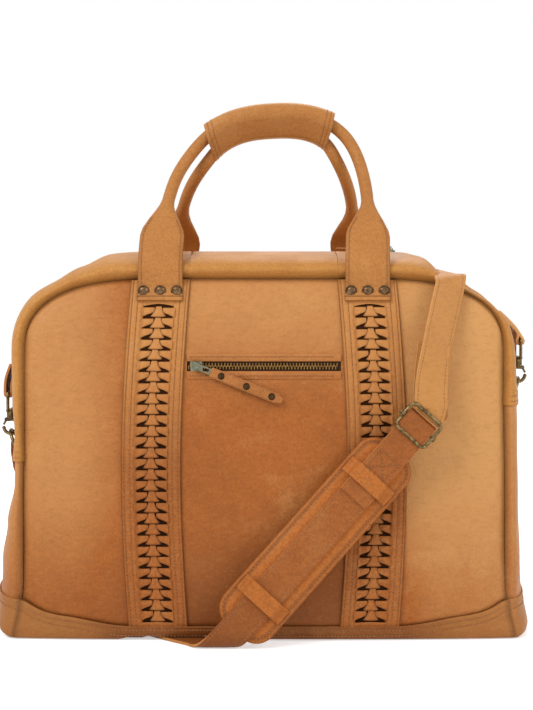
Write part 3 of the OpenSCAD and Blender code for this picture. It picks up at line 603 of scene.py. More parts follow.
def build_tarnish_group():
    """Worn old metal: dark in patches and scratches, rubbed bright between."""
    group, n, given, out = new_group(
        "tarnish", {"Bright": (0.5, 0.4, 0.2, 1), "Dark": (0.1, 0.07, 0.03, 1), "Amount": 0.5},
        ("Color", "Roughness", "Height"))
    where = n.where()
    patches = n.noise(where, 260.0, 4.0, 0.6)
    scratches = n.noise(where, 1500.0, 3.0, 0.7, 1.5)
    mask = n.times(n.ranged(patches, 0.60, 0.38), given['Amount'])
    mask = n.plus(mask, n.times(n.ranged(scratches, 0.55, 0.35), 0.15))
    n.link(n.mix(mask, given['Bright'], given['Dark']), out['Color'])
    n.link(n.ranged(mask, 0.0, 1.0, 0.26, 0.55), out['Roughness'])
    n.link(scratches, out['Height'])
    return group


TONE = build_tone_group()
GRAIN = build_grain_group()
WEAVE = build_weave_group()
TARNISH = build_tarnish_group()


def srgb(color):
    def linear(c):
        c /= 255
        return c / 12.92 if c <= 0.04045 else ((c + 0.055) / 1.055) ** 2.4
    return tuple(linear(c) for c in color) + (1,)


def new_material(name):
    material = bpy.data.materials.new(name)
    material.use_nodes = True
    return material, Nodes(material.node_tree), material.node_tree.nodes['Principled BSDF']


def leather(name, tan, deep, pale, cloud=1.0, speckle=1.0, pores=1.0, wrinkle=0.4, rough=(0.46, 0.64),
            gloss=0.22):
    material, n, shader = new_material(name)
    tone = n.add('ShaderNodeGroup', node_tree=TONE, Tan=srgb(tan), Deep=srgb(deep), Pale=srgb(pale),
                 Cloud=cloud, Speckle=speckle)
    n.link(tone.outputs['Color'], shader.inputs['Base Color'])
    n.link(n.ranged(tone.outputs['Cloud'], 0.35, 0.65, rough[1], rough[0]), shader.inputs['Roughness'])
    n.link(gloss, shader.inputs['Specular IOR Level'])
    grain = n.add('ShaderNodeGroup', node_tree=GRAIN, Pores=pores, Wrinkle=wrinkle)
    n.bump(shader, grain.outputs['Height'], 0.55, 0.3)
    return material


def metal(name, bright, dark, amount):
    material, n, shader = new_material(name)
    n.link(1.0, shader.inputs['Metallic'])
    worn = n.add('ShaderNodeGroup', node_tree=TARNISH, Bright=srgb(bright), Dark=srgb(dark), Amount=amount)
    n.link(worn.outputs['Color'], shader.inputs['Base Color'])
    n.link(worn.outputs['Roughness'], shader.inputs['Roughness'])
    n.bump(shader, worn.outputs['Height'], 0.12, 0.05)
    return material


def woven(name, dark, light, threads, rough):
    material, n, shader = new_material(name)
    weave = n.add('ShaderNodeGroup', node_tree=WEAVE, Threads=threads)
    n.link(n.mix(weave.outputs['Thread'], srgb(dark), srgb(light)), shader.inputs['Base Color'])
    n.link(rough, shader.inputs['Roughness'])
    n.link(0.2, shader.inputs['Sheen Weight'])
    n.bump(shader, weave.outputs['Height'], 0.5, 0.25)
    return material


def thread(name, light, dark):
    material, n, shader = new_material(name)
    twist = n.noise(n.where(), 900.0, 2.0)
    n.link(n.mix(n.ranged(twist, 0.35, 0.65), srgb(dark), srgb(light)), shader.inputs['Base Color'])
    n.link(0.62, shader.inputs['Roughness'])
    n.bump(shader, twist, 0.4, 0.1)
    return material


BODY_LEATHER = leather("waxed body leather", (172, 98, 40), (128, 70, 28), (213, 158, 96), 0.42, 1.0, 1.2,
                       1.1)
TOP_LEATHER = leather("top leather", (194, 134, 66), (150, 92, 42), (214, 162, 92), 0.4, 0.8, 0.7)
BASE_LEATHER = leather("base leather", (144, 85, 37), (106, 60, 25), (204, 140, 76), 0.4, 1.0, 1.0, 1.0)
BAND_LEATHER = leather("band leather", (172, 100, 42), (126, 70, 30), (212, 150, 84), 0.4, 1.2)
HANDLE_LEATHER = leather("handle leather", (184, 122, 62), (136, 80, 36), (212, 156, 92), 0.4, 0.8, 0.7)
STRAP_LEATHER = leather("strap leather", (160, 90, 38), (116, 64, 26), (214, 156, 88), 0.18, 1.1)
PAD_LEATHER = leather("pad leather", (184, 106, 42), (124, 68, 28), (200, 134, 72), 0.2, 1.1)
# Painted shadow: near black, almost unglossy leather for the middle of each band, seen through the braid's
# slits.
SLIT_SHADOW = leather("braid slit shadow", (48, 26, 13), (32, 17, 8), (60, 34, 18), 0.5, rough=(0.9, 0.98),
                  gloss=0.02)
PULL_LEATHER = leather("pull leather", (178, 112, 56), (134, 78, 36), (208, 150, 90), 0.5)
CUT_EDGE = leather("cut edge", (216, 152, 86), (170, 108, 54), (228, 176, 114), 0.8, 1.0, 1.6, 0.1,
                   (0.55, 0.7), 0.25)
THREAD = thread("waxed thread", (174, 112, 56), (132, 80, 38))
# Painted shade: the dark colour where the stitches go into their needle holes.
NEEDLE_HOLE_SHADE = thread("needle hole shade", (96, 56, 28), (60, 32, 14))
BRASS = metal("antique brass", (136, 114, 76), (58, 45, 28), 0.8)
RIVET_METAL = metal("bronze rivets", (122, 94, 66), (48, 34, 22), 0.7)
ZIP_METAL = metal("zip metal", (172, 134, 80), (84, 62, 34), 0.6)
SLIDER_METAL = metal("pewter", (140, 140, 118), (78, 74, 58), 0.6)
DARK_METAL = metal("dark rivets", (84, 66, 44), (34, 25, 16), 0.7)
TAPE = woven("zip tape", (66, 42, 22), (112, 74, 40), 5200.0, 0.85)
LINING = woven("cotton lining", (70, 50, 34), (128, 98, 70), 3600.0, 0.9)
BOARD = leather("fibre board", (96, 76, 56), (70, 54, 40), (116, 94, 70), 0.6, 1.4, 1.5, 0.2,
                (0.7, 0.85), 0.2)


def refinish(node, material):
    """Give a CAD piece that shows as it is its finish."""
    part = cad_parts[node]
    part.data.materials.clear()
    part.data.materials.append(material)


# Stitching
def build_stitch():
    deselect()
    bpy.ops.mesh.primitive_uv_sphere_add(segments=6, ring_count=4, radius=1.0)
    stitch = bpy.context.object
    edit_all(stitch)
    bpy.ops.transform.rotate(value=math.radians(90), orient_axis='Y', center_override=(0, 0, 0))
    bpy.ops.transform.resize(value=(1.5 * MM, 0.5 * MM, 0.36 * MM), center_override=(0, 0, 0))
    end_edit()
    stitch.name = "stitch_pattern"
    return stitch


STITCH = build_stitch()
# Faces at both ends of a stitch, which lie in the needle holes
STITCH_ENDS = {f.index for f in STITCH.data.polygons if abs(f.center.x) > 0.72 * MM}


def spaced(path, pitch):
    """Points, directions and normals at even steps along a path of (point, normal) pairs."""
    marks, run = [], pitch / 2
    for (p, n), (q, m) in zip(path, path[1:]):
        span = (q - p).length
        while span > 0 and run <= span:
            t = run / span
            marks.append((p.lerp(q, t), (q - p).normalized(), n.lerp(m, t).normalized()))
            run += pitch
        run -= span
    return marks


def stitches(name, paths, slot, body, pitch=3.4, sink=0.0, scale=1.0):
    """Rows of stitches lying on a surface, each a little askew."""
    places = []
    for path in paths:
        for p, t, n in spaced(path, pitch):
            askew = t.cross(n).normalized() * random.uniform(-0.10, 0.10)
            x = (t + askew).normalized()
            y = n.cross(x).normalized()
            z = x.cross(y)
            turn = Matrix((x, y, z)).transposed().to_4x4() @ Matrix.Scale(scale, 4)
            places.append(put_by(Matrix.Translation((p + n * sink) * MM) @ turn))
    piece = copies_of(name, STITCH, places)
    piece.data.materials.append(THREAD)
    piece.data.materials.append(NEEDLE_HOLE_SHADE)
    per = len(STITCH.data.polygons)
    # Both ends of each stitch take the painted shade of the needle holes.
    for i, face in enumerate(piece.data.polygons):
        face.material_index = 1 if i % per in STITCH_ENDS else 0
    return dress(piece, THREAD, slot, body, angle=80)


# Body leathers
EDGE_T = 0.5 - 0.3 / (2 * TOP_DEPTH)
MIDDLE_U = TOP_FLAT + SHOULDER_LEN * 0.5


def panel_net(h, v):
    """Place in the panel's outline, blended from its four edges."""
    low, high = OUTLINE_END - BAND_COR, MIDDLE_U

    def side(k):
        return Vector(outline(lerp(low, high, k)))

    def bottom(k):
        x = lerp(-half_width(BAND_COR), half_width(BAND_COR), k)
        return Vector((x, base_seam(x)))

    def top(k):
        return Vector(outline(lerp(-MIDDLE_U, MIDDLE_U, k)))

    def left(p):
        return Vector((-p[0], p[1]))

    corners = (1 - v) * ((1 - h) * bottom(0) + h * bottom(1)) + v * ((1 - h) * top(0) + h * top(1))
    return (1 - v) * bottom(h) + v * top(h) + (1 - h) * left(side(v)) + h * side(v) - corners


def spread(t):
    """Closer steps towards both ends."""
    return lerp(t, even(t), 0.5)


def seam_shade(x, z):
    return 0.38 * hump(edge_distance(x, z), 2.4)


def panel_lighting(x, z):
    """Painted light and shade: paler towards the sides and in the upper middle where light falls, deeper
    low in the middle, partly the shadow of the pad and strap.
    """
    outer = 0.5 * smooth((-x - 112) / 80) if x < 0 else 0.85 * smooth((x - 84) / 70)
    above = 0.5 * smooth((z - 215) / 110) * smooth((104 - abs(x)) / 30)
    low = 0.75 * smooth((150 - z) / 130) * (1 - 0.6 * smooth((abs(x) - 112) / 60))
    return outer * lerp(1, 0.66, smooth((200 - z) / 150)) + above - low


def panel(word, sg):
    def spot(a, b):
        return panel_net(spread(a), spread(b))

    def place(a, b):
        x, z = spot(a, b)
        return Vector((x, sg * front(x, z), z))

    piece = shaped_grid(f"{word}_leather", 130, 96, place, lambda a, b: seam_shade(*spot(a, b)),
                        flip=sg < 0, painted_lighting=lambda a, b: panel_lighting(*spot(a, b)))
    if sg > 0:
        cut_slot(piece)
    thicken(piece, PANEL_T)
    dress(piece, BODY_LEATHER, "leather_body", "bag", f"{word}_panel")


def cut_slot(piece):
    """Open the front for the pocket zip: four straight cuts, then the middle comes out."""
    for co, no in (((-ZIP_HALF, 0, 0), (1, 0, 0)), ((ZIP_HALF, 0, 0), (1, 0, 0)),
                   ((0, 0, ZIP_Z - ZIP_SLOT), (0, 0, 1)), ((0, 0, ZIP_Z + ZIP_SLOT), (0, 0, 1))):
        edit_all(piece)
        bpy.ops.mesh.bisect(plane_co=Vector(co) * MM, plane_no=no)
        end_edit()
    edit_all(piece)
    bpy.ops.mesh.select_all(action='DESELECT')
    end_edit()
    for face in piece.data.polygons:
        c = face.center / MM
        face.select = abs(c.x) < ZIP_HALF and abs(c.z - ZIP_Z) < ZIP_SLOT
    bpy.ops.object.mode_set(mode='EDIT')
    bpy.ops.mesh.select_mode(type='FACE')
    bpy.ops.mesh.delete(type='FACE')
    bpy.ops.mesh.select_mode(type='VERT')
    end_edit()


for word, sg in FACES:
    panel(word, sg)


def gusset_shade(u, t):
    return 0.6 * hump(bulge_at(u) * puff(t), 2.6)


def side_gusset(word, sg, top_z):
    low, high = OUTLINE_END - 26, OUTLINE_END - top_z - 8

    def spot(a, b):
        return sg * lerp(low, high, a), even(b)

    def place(a, b):
        u, t = spot(a, b)
        sag = noise.noise(Vector((u * 0.02, t * 2.2, 4.0 + sg))) * 1.4 * puff(t)
        return lifted(roll, u, t, sag - 0.4)

    # Painted light: the side leather grows paler towards its top.
    piece = shaped_grid(f"{word}_side_leather", 46, 64, place, lambda a, b: gusset_shade(*spot(a, b)),
                        flip=sg > 0, painted_lighting=lambda a, b: lerp(0.1, 0.6, a))
    thicken(piece, STRIP_T)
    dress(piece, BODY_LEATHER, "leather_base", "bag", f"{word}_gusset")


side_gusset("left", -1, SEAM_LEFT)
side_gusset("right", 1, SEAM_RIGHT)

LEFT_END = -(OUTLINE_END - SEAM_LEFT)
RIGHT_END = OUTLINE_END - SEAM_RIGHT


def steps(a, b, n):
    return [lerp(a, b, i / n) for i in range(n)]


TOP_US = (steps(LEFT_END, -SIDE_START, 26) + steps(-SIDE_START, -ZIP_TOP_U - 0.8, 34)
          + steps(-ZIP_TOP_U, -MOUTH_HALF - 0.6, 16) + steps(-MOUTH_HALF - 0.3, MOUTH_HALF + 0.3, 40)
          + steps(MOUTH_HALF + 0.3, MOUTH_HALF + 0.6, 1) + steps(MOUTH_HALF + 0.6, ZIP_TOP_U, 16)
          + steps(ZIP_TOP_U, ZIP_TOP_U + 0.8, 1) + steps(ZIP_TOP_U + 0.8, SIDE_START, 34)
          + steps(SIDE_START, RIGHT_END, 14) + [RIGHT_END])


def zip_side(u):
    if abs(u) < MOUTH_HALF + 0.45:
        return MOUTH_T
    return ZIP_EDGE_T if abs(u) < ZIP_TOP_U + 0.5 else EDGE_T


def top_strip(word, sg):
    def spot(a, b):
        u = pick(TOP_US, a)
        t = zip_side(u) * (1 - math.cos(math.pi * b / 2))
        return u, t if sg > 0 else 1 - t

    def place(a, b):
        u, t = spot(a, b)
        to_end = min(u - LEFT_END, RIGHT_END - u)
        ripple = noise.noise(Vector((u * 0.018, t * 2.0, 9.0))) * 1.2 * puff(t)
        return lifted(roll, u, t, SEAM_STEP * hump(to_end, SEAM_RUN) + ripple * smooth((abs(u) - 150) / 40))

    piece = shaped_grid(f"top_leather_{word}", len(TOP_US) - 1, 30, place,
                        lambda a, b: gusset_shade(*spot(a, b)), flip=sg < 0)
    thicken(piece, STRIP_T)
    dress(piece, TOP_LEATHER, "leather_top", "bag", f"top_gusset_{word}")


for word, sg in FACES:
    top_strip(word, sg)


def flap(word, sg):
    def place(a, b):
        t = lerp(MOUTH_T + 0.002, ZIP_EDGE_T, b)
        return roll(lerp(-MOUTH_HALF, MOUTH_HALF, a), t if sg > 0 else 1 - t)

    piece = shaped_grid(f"mouth_leather_{word}", 40, 22, place, flip=sg < 0)
    thicken(piece, STRIP_T, 0.5)
    dress(piece, TOP_LEATHER, "leather_top", None, f"{word}_flap")
    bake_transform(piece)


for word, sg in FACES:
    flap(word, sg)

# Base band
RIM_FRONT = 90
RIM_SIDE = 40
BACK_X = -194
UNDER = [Vector(p) for p in ((BACK_X, 108), (BACK_X, 10), (-140, -62), (-60, -137))]


def bezier(points, t):
    a, b, c, d = points
    return (1 - t) ** 3 * a + 3 * t * (1 - t) ** 2 * b + 3 * t * t * (1 - t) * c + t ** 3 * d


def rim_columns():
    cols = [(0, lerp(-1, 1, i / RIM_FRONT)) for i in range(RIM_FRONT + 1)]
    cols += [(1, even(i / RIM_SIDE)) for i in range(1, RIM_SIDE)]
    cols += [(2, lerp(1, -1, i / RIM_FRONT)) for i in range(RIM_FRONT + 1)]
    cols += [(3, 1 - even(i / RIM_SIDE)) for i in range(1, RIM_SIDE)]
    return cols + cols[:1]


def at_base(c, z, d):
    if c[0] in (0, 2):
        sg = 1 if c[0] == 0 else -1
        w = half_width(z)
        x = c[1] * w
        return Vector((x - d * math.copysign(abs(c[1]) ** 12, c[1]), sg * (plain_front(x, z) + d), z))
    u = (1 if c[0] == 1 else -1) * (OUTLINE_END - z)
    return lifted(plain_roll, u, c[1], -d)


def cross_lift(c):
    x = c[1] * half_width(0)
    if c[0] == 0:
        return 4 * (1 - smooth((abs(x + 84) - 40) / 16))
    return 10 * (1 - smooth((abs(x - BACK_X) - 20) / 16)) if c[0] == 2 else 0


def rim_top(c):
    """Height of the band's upper edge, just above its seam."""
    return (base_seam(c[1] * half_width(BAND_COR)) if c[0] in (0, 2) else BAND_COR) + 1.5


def base_band():
    cols = rim_columns()
    feet = ((0.9, 13.0), (0.5, 8.0), (0.6, 4.4), (1.8, 1.4), (5.2, -0.4))
    rises = (0.3, 0.6, 0.82, 0.95, 1.0)

    def place(a, b):
        c = pick(cols, a)
        lift, top = cross_lift(c), rim_top(c)
        r = round(b * 11)
        if r < 5:
            z, d = feet[r]
            return at_base(c, lift + z * (1 - lift / 12), d * (1 - lift / 10))
        if r < 10:
            k = rises[r - 5]
            start = lift + feet[4][0] * (1 - lift / 12)
            return at_base(c, lerp(start, top, k), -1.0 - 0.7 * hump(k - 0.97, 0.05))
        return at_base(c, top + (0.7 if r == 10 else 0.2), -0.8 if r == 10 else 2.0)

    def shade(a, b):
        c = pick(cols, a)
        corner = 0.5 * hump((1 - abs(c[1])) * PANEL_HALF, 2.5) if c[0] in (0, 2) else 0
        return corner + 0.4 * smooth((0.3 - b) / 0.3) + 0.5 * smooth((b - 0.92) / 0.08)

    # Painted light and shade: the band is paler towards its sides and a little deeper in the middle.
    def worn(a, b):
        return 0.45 * smooth((abs(place(a, b).x) - 110) / 90) - 0.1

    piece = shaped_grid("base_band_leather", len(cols) - 1, 11, place, shade, painted_lighting=worn)
    close_up(piece, fill=False)
    thicken(piece, STRIP_T)
    dress(piece, BASE_LEATHER, "leather_base", "bag", "base_band")


base_band()


def under_distance(p):
    return min((bezier(UNDER, i / 30) - p).length for i in range(31))


def base_panel():
    def place(a, b):
        x = lerp(-half_width(0) + 8, half_width(0) - 8, a)
        deep = -plain_front(x, 0) - 10
        y = lerp(-deep, deep, b)
        lift = lerp(4.6, 0.0, smooth((under_distance(Vector((x, y))) - STRAP_W / 2 - 1) / 8))
        return Vector((x, y, 0.9 + lift))

    piece = shaped_grid("base_leather", 80, 44, place, flip=True)
    thicken(piece, 2.0)
    dress(piece, BASE_LEATHER, "leather_base", "bag", "base_panel")


base_panel()


# Lining
def lining(word, sg, depth):
    def place(a, b):
        x, z = panel_net(lerp(0.02, 0.98, a), lerp(0.03, 0.97, b))
        return Vector((x, sg * (plain_front(x, z) + depth), z))

    piece = shaped_grid(f"lining_{word}", 40, 30, place, flip=sg < 0)
    thicken(piece, 0.8)
    dress(piece, LINING, "lining", "bag", f"{word}_lining")


lining("front", 1, 6.4)
lining("back", -1, 3.6)


def pocket_bag():
    def place(a, b):
        x = lerp(-ZIP_HALF - 4, ZIP_HALF + 4, a)
        z = lerp(ZIP_Z - 125, ZIP_Z - 10, b)
        return Vector((x, plain_front(x, z) + 3.4 + 0.4 * sind(180 * b), z))

    piece = shaped_grid("pocket_lining", 30, 24, place)
    thicken(piece, 1.6, 0.4)
    dress(piece, LINING, "lining", "bag", "pocket_bag")


pocket_bag()
refinish("base_board", BOARD)

# Upright bands with their braids: heights across half a band, from its middle out
BAND_PROFILE = [(0, 0.7), (14.2, 0.7), (15.1, 2.5), (16, 2.8), (19.5, 2.7), (20.3, 2.3), (21, 2.7),
                (24.9, 2.7), (25.7, 2.2), (26.5, 3.0), (27.6, 3.1), (28.6, 2.0), (29, -0.6)]
BAND_STEPS = sorted({s * d for d, _ in BAND_PROFILE + [(7, 0)] for s in (-1, 1)})
# Lines across a band with painted shade, the shadow by its outer edge and the grooves by its slits and
# stitches: place, strength and width
BAND_LINES = ((28.6, 0.6, 0.9), (15.1, 0.15, 0.8), (20.3, 0.25, 0.6), (25.7, 0.25, 0.6))


def band_center(z):
    return BAND_X + BAND_BOW * sind(180 * clamp(z / 340))


def on_band(sg, sx, d, z, h):
    """Point on a band: d across from its middle, h above its surface."""
    x = sx * (band_center(z) + d)
    return Vector((x, sg * (front(x, z) - from_table(BAND_PROFILE, abs(d)) - h), z))


# Painted light: the bands grow paler towards the top.
def band_lighting(z):
    return 0.6 * smooth((z - 130) / 180)


def band_ends(sx, d):
    """Heights where a line along a band starts and ends, d across from its middle."""
    x = sx * (band_center(170) + d)
    return base_seam(x), top_of(x)


def band(name, sg, sx):
    def spot(a, b):
        d = pick(BAND_STEPS, a)
        low, high = band_ends(sx, d)
        return d, lerp(low + 0.5, high - 0.5, b)

    def shade(a, b):
        d = abs(spot(a, b)[0])
        return sum(k * hump(d - at, w) for at, k, w in BAND_LINES) if d >= 14.0 else 0.0

    piece = shaped_grid(name, len(BAND_STEPS) - 1, 96, lambda a, b: on_band(sg, sx, *spot(a, b), 0), shade,
                        flip=sg * sx < 0, painted_lighting=lambda a, b: band_lighting(spot(a, b)[1]))
    thicken(piece, 1.2)
    piece.data.materials.append(BAND_LEATHER)
    piece.data.materials.append(SLIT_SHADOW)
    for face in piece.data.polygons:
        # Faces under the braid's slits take the painted shadow.
        c = face.center / MM
        face.material_index = 1 if abs(abs(c.x) - band_center(c.z)) < SLIT_HALF else 0
    return piece


def bell_pattern():
    """Middle tongue of a braid row: narrow above, widening to thin corners at its foot."""
    def place(a, b):
        w = 3.1 + 5.3 * (1 - b) ** 1.9
        k = 2 * a - 1
        h = (lerp(2.3, 0.9, b) + 0.5 * sind(180 * b)) * (1 - 0.3 * k * k)
        return Vector((k * w, lerp(-4.7, 5.8, b) + 0.4 * k * k * (1 - b), h))

    def shade(a, b):
        return 0.6 * smooth((abs(2 * a - 1) - 0.68) / 0.32) + 0.5 * smooth((0.16 - b) / 0.16)

    piece = shaped_grid("bell_pattern", 6, 6, place, shade)
    thicken(piece, 0.9)
    return piece


def arm_pattern():
    """Side tongue of a braid row: a full lobe from the border, passing under the middle tongue."""
    def place(a, b):
        d = lerp(15.8, 3.6, a)
        low = -5.2 + 3.3 * clamp((15.8 - d) / 7) ** 0.9 + 0.4 * max(0, 8 - d)
        k = 2 * b - 1
        h = 0.75 + 1.15 * sind(180 * clamp(0.06 + 0.8 * a)) ** 0.7 * (1 - 0.5 * k * k)
        h += 0.7 * smooth((0.12 - a) / 0.12) - 0.9 * smooth((a - 0.62) / 0.3)
        return Vector((d, lerp(low, 5.0 - 0.3 * k, b), h))

    def shade(_, b):
        return 0.35 * smooth((0.2 - b) / 0.2) + 0.2 * smooth((b - 0.85) / 0.15)

    piece = shaped_grid("arm_pattern", 8, 5, place, shade, flip=True)
    thicken(piece, 0.9)
    return piece


BELL = bell_pattern()
ARM = arm_pattern()


def braid_places(sg, sx, sides):
    count = round((BRAID_HIGH - BRAID_LOW) / BRAID_PITCH)
    places = []
    for i in range(count):
        z = lerp(BRAID_LOW, BRAID_HIGH, i / (count - 1))
        for side in sides:
            jig = (random.uniform(-0.5, 0.5), random.uniform(-0.45, 0.45), random.uniform(0.9, 1.08))

            def put(p, z=z, side=side, jig=jig):
                d, s, h = p / MM
                return on_band(sg, sx, side * d + jig[0], z + s + jig[1], h * jig[2]) * MM

            places.append(put)
    return places


def cap(name, sg, sx, above):
    """Plain leather that closes the slit field above its first row or below its last."""
    def place(a, b):
        d = lerp(-15.4, 15.4, a)
        k = abs(d) / 15.4
        low, high = band_ends(sx, d)
        ends = (319.4 + 2.4 * (1 - k ** 1.7), high - 1) if above else (low + 0.8, 18.6 - 0.8 * k)
        return on_band(sg, sx, d, lerp(*ends, b), lerp(1.9, 0.1, smooth((k - 0.9) / 0.1)))

    piece = shaped_grid(name, 14, 5, place, flip=sg * sx < 0)
    thicken(piece, 1.1)
    return piece


def braid(name, sg, sx):
    bells = copies_of(name + "_bells", BELL, braid_places(sg, sx, (1,)))
    arms = copies_of(name + "_arms", ARM, braid_places(sg, sx, (-1, 1)))
    caps = [cap(name + "_cap", sg, sx, True), cap(name + "_foot", sg, sx, False)]
    piece = join(name, [bells, arms] + caps)
    edit_all(piece)
    bpy.ops.mesh.normals_make_consistent(inside=False)
    end_edit()
    apply(piece, 'SUBSURF', levels=1, render_levels=1)
    # Painted light, as on the bands.
    keep_values(piece.data, "painted_lighting", [band_lighting(v.co.z / MM) for v in piece.data.vertices])
    return piece


def band_rows(sg, sx):
    out = Vector((0, -sg, 0.07))
    rows = []
    for d in sorted(s * d for d in BAND_STITCH for s in (-1, 1)):
        low = base_seam(sx * (100 + d)) + 4
        rows.append([(on_band(sg, sx, d, lerp(low, 342, i / 60), 0.25), out) for i in range(61)])
    return rows


for word, sx in ENDS:
    strip = band(f"{word}_band", 1, sx)
    dress(strip, BAND_LEATHER, "leather_band", "bag", f"front_{word}_band")
    plait = braid(f"{word}_braid", 1, sx)
    dress(plait, BAND_LEATHER, "leather_braid", "bag", f"front_{word}_braid", angle=60)
    stitches(f"{word}_band_stitching", band_rows(1, sx), "leather_band", "bag")

strips = join("rear_bands", [band(f"rear_band_{word}", -1, sx) for word, sx in ENDS])
dress(strips, BAND_LEATHER, "leather_band", "bag", "back_bands")
plaits = join("rear_braids", [braid(f"rear_braid_{word}", -1, sx) for word, sx in ENDS])
dress(plaits, BAND_LEATHER, "leather_braid", "bag", "back_braids", angle=60)
stitches("rear_band_stitching", band_rows(-1, -1) + band_rows(-1, 1), "leather_band", "bag")


# Pocket zip
def welt(name, low, high):
    def spot(a, b):
        return lerp(-ZIP_HALF, ZIP_HALF, a), lerp(low, high, b)

    def place(a, b):
        x, z = spot(a, b)
        crown = 1.5 * sind(180 * lerp(0.08, 0.92, b)) ** 0.6
        return Vector((x, front(x, z) - crown, z))

    # Painted light and shade as on the panel.
    piece = shaped_grid(name, 60, 8, place, painted_lighting=lambda a, b: panel_lighting(*spot(a, b)))
    thicken(piece, 1.2)
    return piece


lips = [welt("lip_low", ZIP_Z - 12.4, ZIP_Z - 4.6), welt("lip_high", ZIP_Z + 4.8, ZIP_Z + 12.2)]
dress(join("pocket_lips", lips), BODY_LEATHER, "leather_body", "bag", "pocket_welts")
lip_rows = [[(Vector((x, front(x, z) - 1.7, z)), Vector((0, -1, 0.1))) for x in steps(-72, 72, 40)]
            for z in (ZIP_Z - 9.0, ZIP_Z + 9.2)]
stitches("pocket_stitching", lip_rows, "leather_body", "bag")


def tooth_pattern():
    deselect()
    bpy.ops.mesh.primitive_cube_add(size=1)
    tooth = bpy.context.object
    edit_all(tooth)
    bpy.ops.transform.resize(value=(1.25 * MM, 4.2 * MM, 2.2 * MM))
    bpy.ops.mesh.bevel(offset=0.3 * MM, segments=1)
    end_edit()
    tooth.name = "tooth_pattern"
    return tooth


TOOTH = tooth_pattern()


def shift(x, y, z):
    return Matrix.Translation(Vector((x, y, z)) * MM)


def teeth(name, x0, x1, sg, base, body, *nodes):
    """One side of a closed zip: teeth from x0 to x1, each reaching over the middle."""
    places = []
    for i in range(int((x1 - x0) / TOOTH_PITCH)):
        x = x0 + TOOTH_PITCH * (i + 0.5 - sg * 0.25)
        places.append(put_by(base @ shift(x, -sg * 1.25, 1.1)))
    dress(copies_of(name, TOOTH, places), ZIP_METAL, "zip_metal", body, *nodes, angle=30)


def tape(name, x0, x1, y0, y1, base, body, *nodes):
    def place(a, b):
        return base @ (Vector((lerp(x0, x1, a), lerp(y0, y1, b), 0)) * MM) / MM

    piece = shaped_grid(name, max(8, int((x1 - x0) / 4)), 4, place)
    thicken(piece, 0.7)
    dress(piece, TAPE, "zip_tape", body, *nodes)


POCKET_Y = plain_front(0, ZIP_Z)
UPRIGHT = Matrix.Rotation(math.pi / 2, 4, 'X')
ON_POCKET = shift(0, POCKET_Y + POCKET_PLANE, ZIP_Z) @ UPRIGHT
ON_TOP = shift(0, 0, TEETH_Z)
# The ends of the main zip are sunk a little
ON_END = shift(0, 0, TEETH_Z - 1.6)
UNDER_TEETH = shift(0, 0, -0.3)
teeth("pocket_teeth_high", -ZIP_HALF + 1, ZIP_HALF - 1, 1, ON_POCKET, "bag", "pocket_teeth")
teeth("pocket_teeth_low", -ZIP_HALF + 1, ZIP_HALF - 1, -1, ON_POCKET, "bag")
tape("pocket_zip_tape", -ZIP_HALF - 4, ZIP_HALF + 4, -9, 9, ON_POCKET @ UNDER_TEETH, "bag", "pocket_tape")

# Main zip: the mouth, then both ends beyond it
END_HALF = (ZIP_TOP_HALF - MOUTH_HALF - 3) / 2
END_X = MOUTH_HALF + 1 + END_HALF


def zip_run(name, sg, x, half, width, base, body, tape_nodes, teeth_nodes):
    edges = sorted((-sg * 0.3, -sg * width))
    tape(name % "tape", x - half, x + half, *edges, base @ UNDER_TEETH, body, *tape_nodes)
    teeth(name % "teeth", x - half + 0.5, x + half - 0.5, sg, base, body, *teeth_nodes)


for word, sg in FACES:
    zip_run(f"mouth_%s_{word}", sg, 0, MOUTH_HALF, 15, ON_TOP, f"mouth_{word}",
            [f"flap_tape_{word}"], [f"flap_teeth_{word}"])
    for end, e in ENDS:
        first = (word, end) == ("front", "left")
        zip_run(f"end_%s_{word}_{end}", sg, e * END_X, END_HALF, 6.0, ON_END, "bag",
                ["zip_end_tapes"] if first else [], ["zip_end_teeth"] if first else [])

# Leather pulls
SLIDER_X = -65
MAIN_SLIDER_X = 129
PLATE_TOP = 4.6
PULL_LEAN = 5.5
PULL_SLOPE = 22
PULL_START = 15
ON_PULL = (shift(SLIDER_X, POCKET_Y + POCKET_PLANE, ZIP_Z) @ UPRIGHT @ shift(0, 0, PLATE_TOP)
           @ Matrix.Rotation(math.radians(-PULL_LEAN), 4, 'X')
           @ Matrix.Rotation(math.radians(-PULL_SLOPE), 4, 'Z'))
ON_MAIN = shift(MAIN_SLIDER_X, 0, TEETH_Z) @ Matrix.Rotation(math.pi, 4, 'Z') @ shift(0, 0, PLATE_TOP)


def pull_tab(word, base, lift, length):
    mid, end = lift + 0.7, PULL_START + 4 + length
    up = (base.to_3x3() @ Z).normalized()
    body = f"{word}_pull"

    def half(x):
        tip = min(1, 0.55 + 0.45 * smooth((end - x) / 7))
        return 5.0 * tip * (0.94 + 0.06 * smooth((x - PULL_START) / 5))

    def at(x, w, h):
        return base @ (Vector((x, w, h)) * MM) / MM

    def place(a, b):
        x, k = lerp(PULL_START, end, a), 2 * b - 1
        return at(x, k * half(x), mid + (1.5 - 0.35 * abs(k) ** 3))

    piece = shaped_grid(f"{word}_pull_leather", 40, 8, place)
    thicken(piece, 1.8, 0.5)
    dress(piece, PULL_LEATHER, "leather_pull", body, f"{word}_pull_tab")
    rows = [[(at(x, k * (half(x) - 1.3), mid + 1.35), up) for x in steps(17, 16 + length, 30)]
            for k in (-1, 1)]
    stitches(f"{word}_pull_leather_stitching", rows, "leather_pull", body, 2.6, 0.0, 0.75)


pull_tab("pocket", ON_PULL, 3.6, 70)
pull_tab("main", ON_MAIN, 0.4, 36)


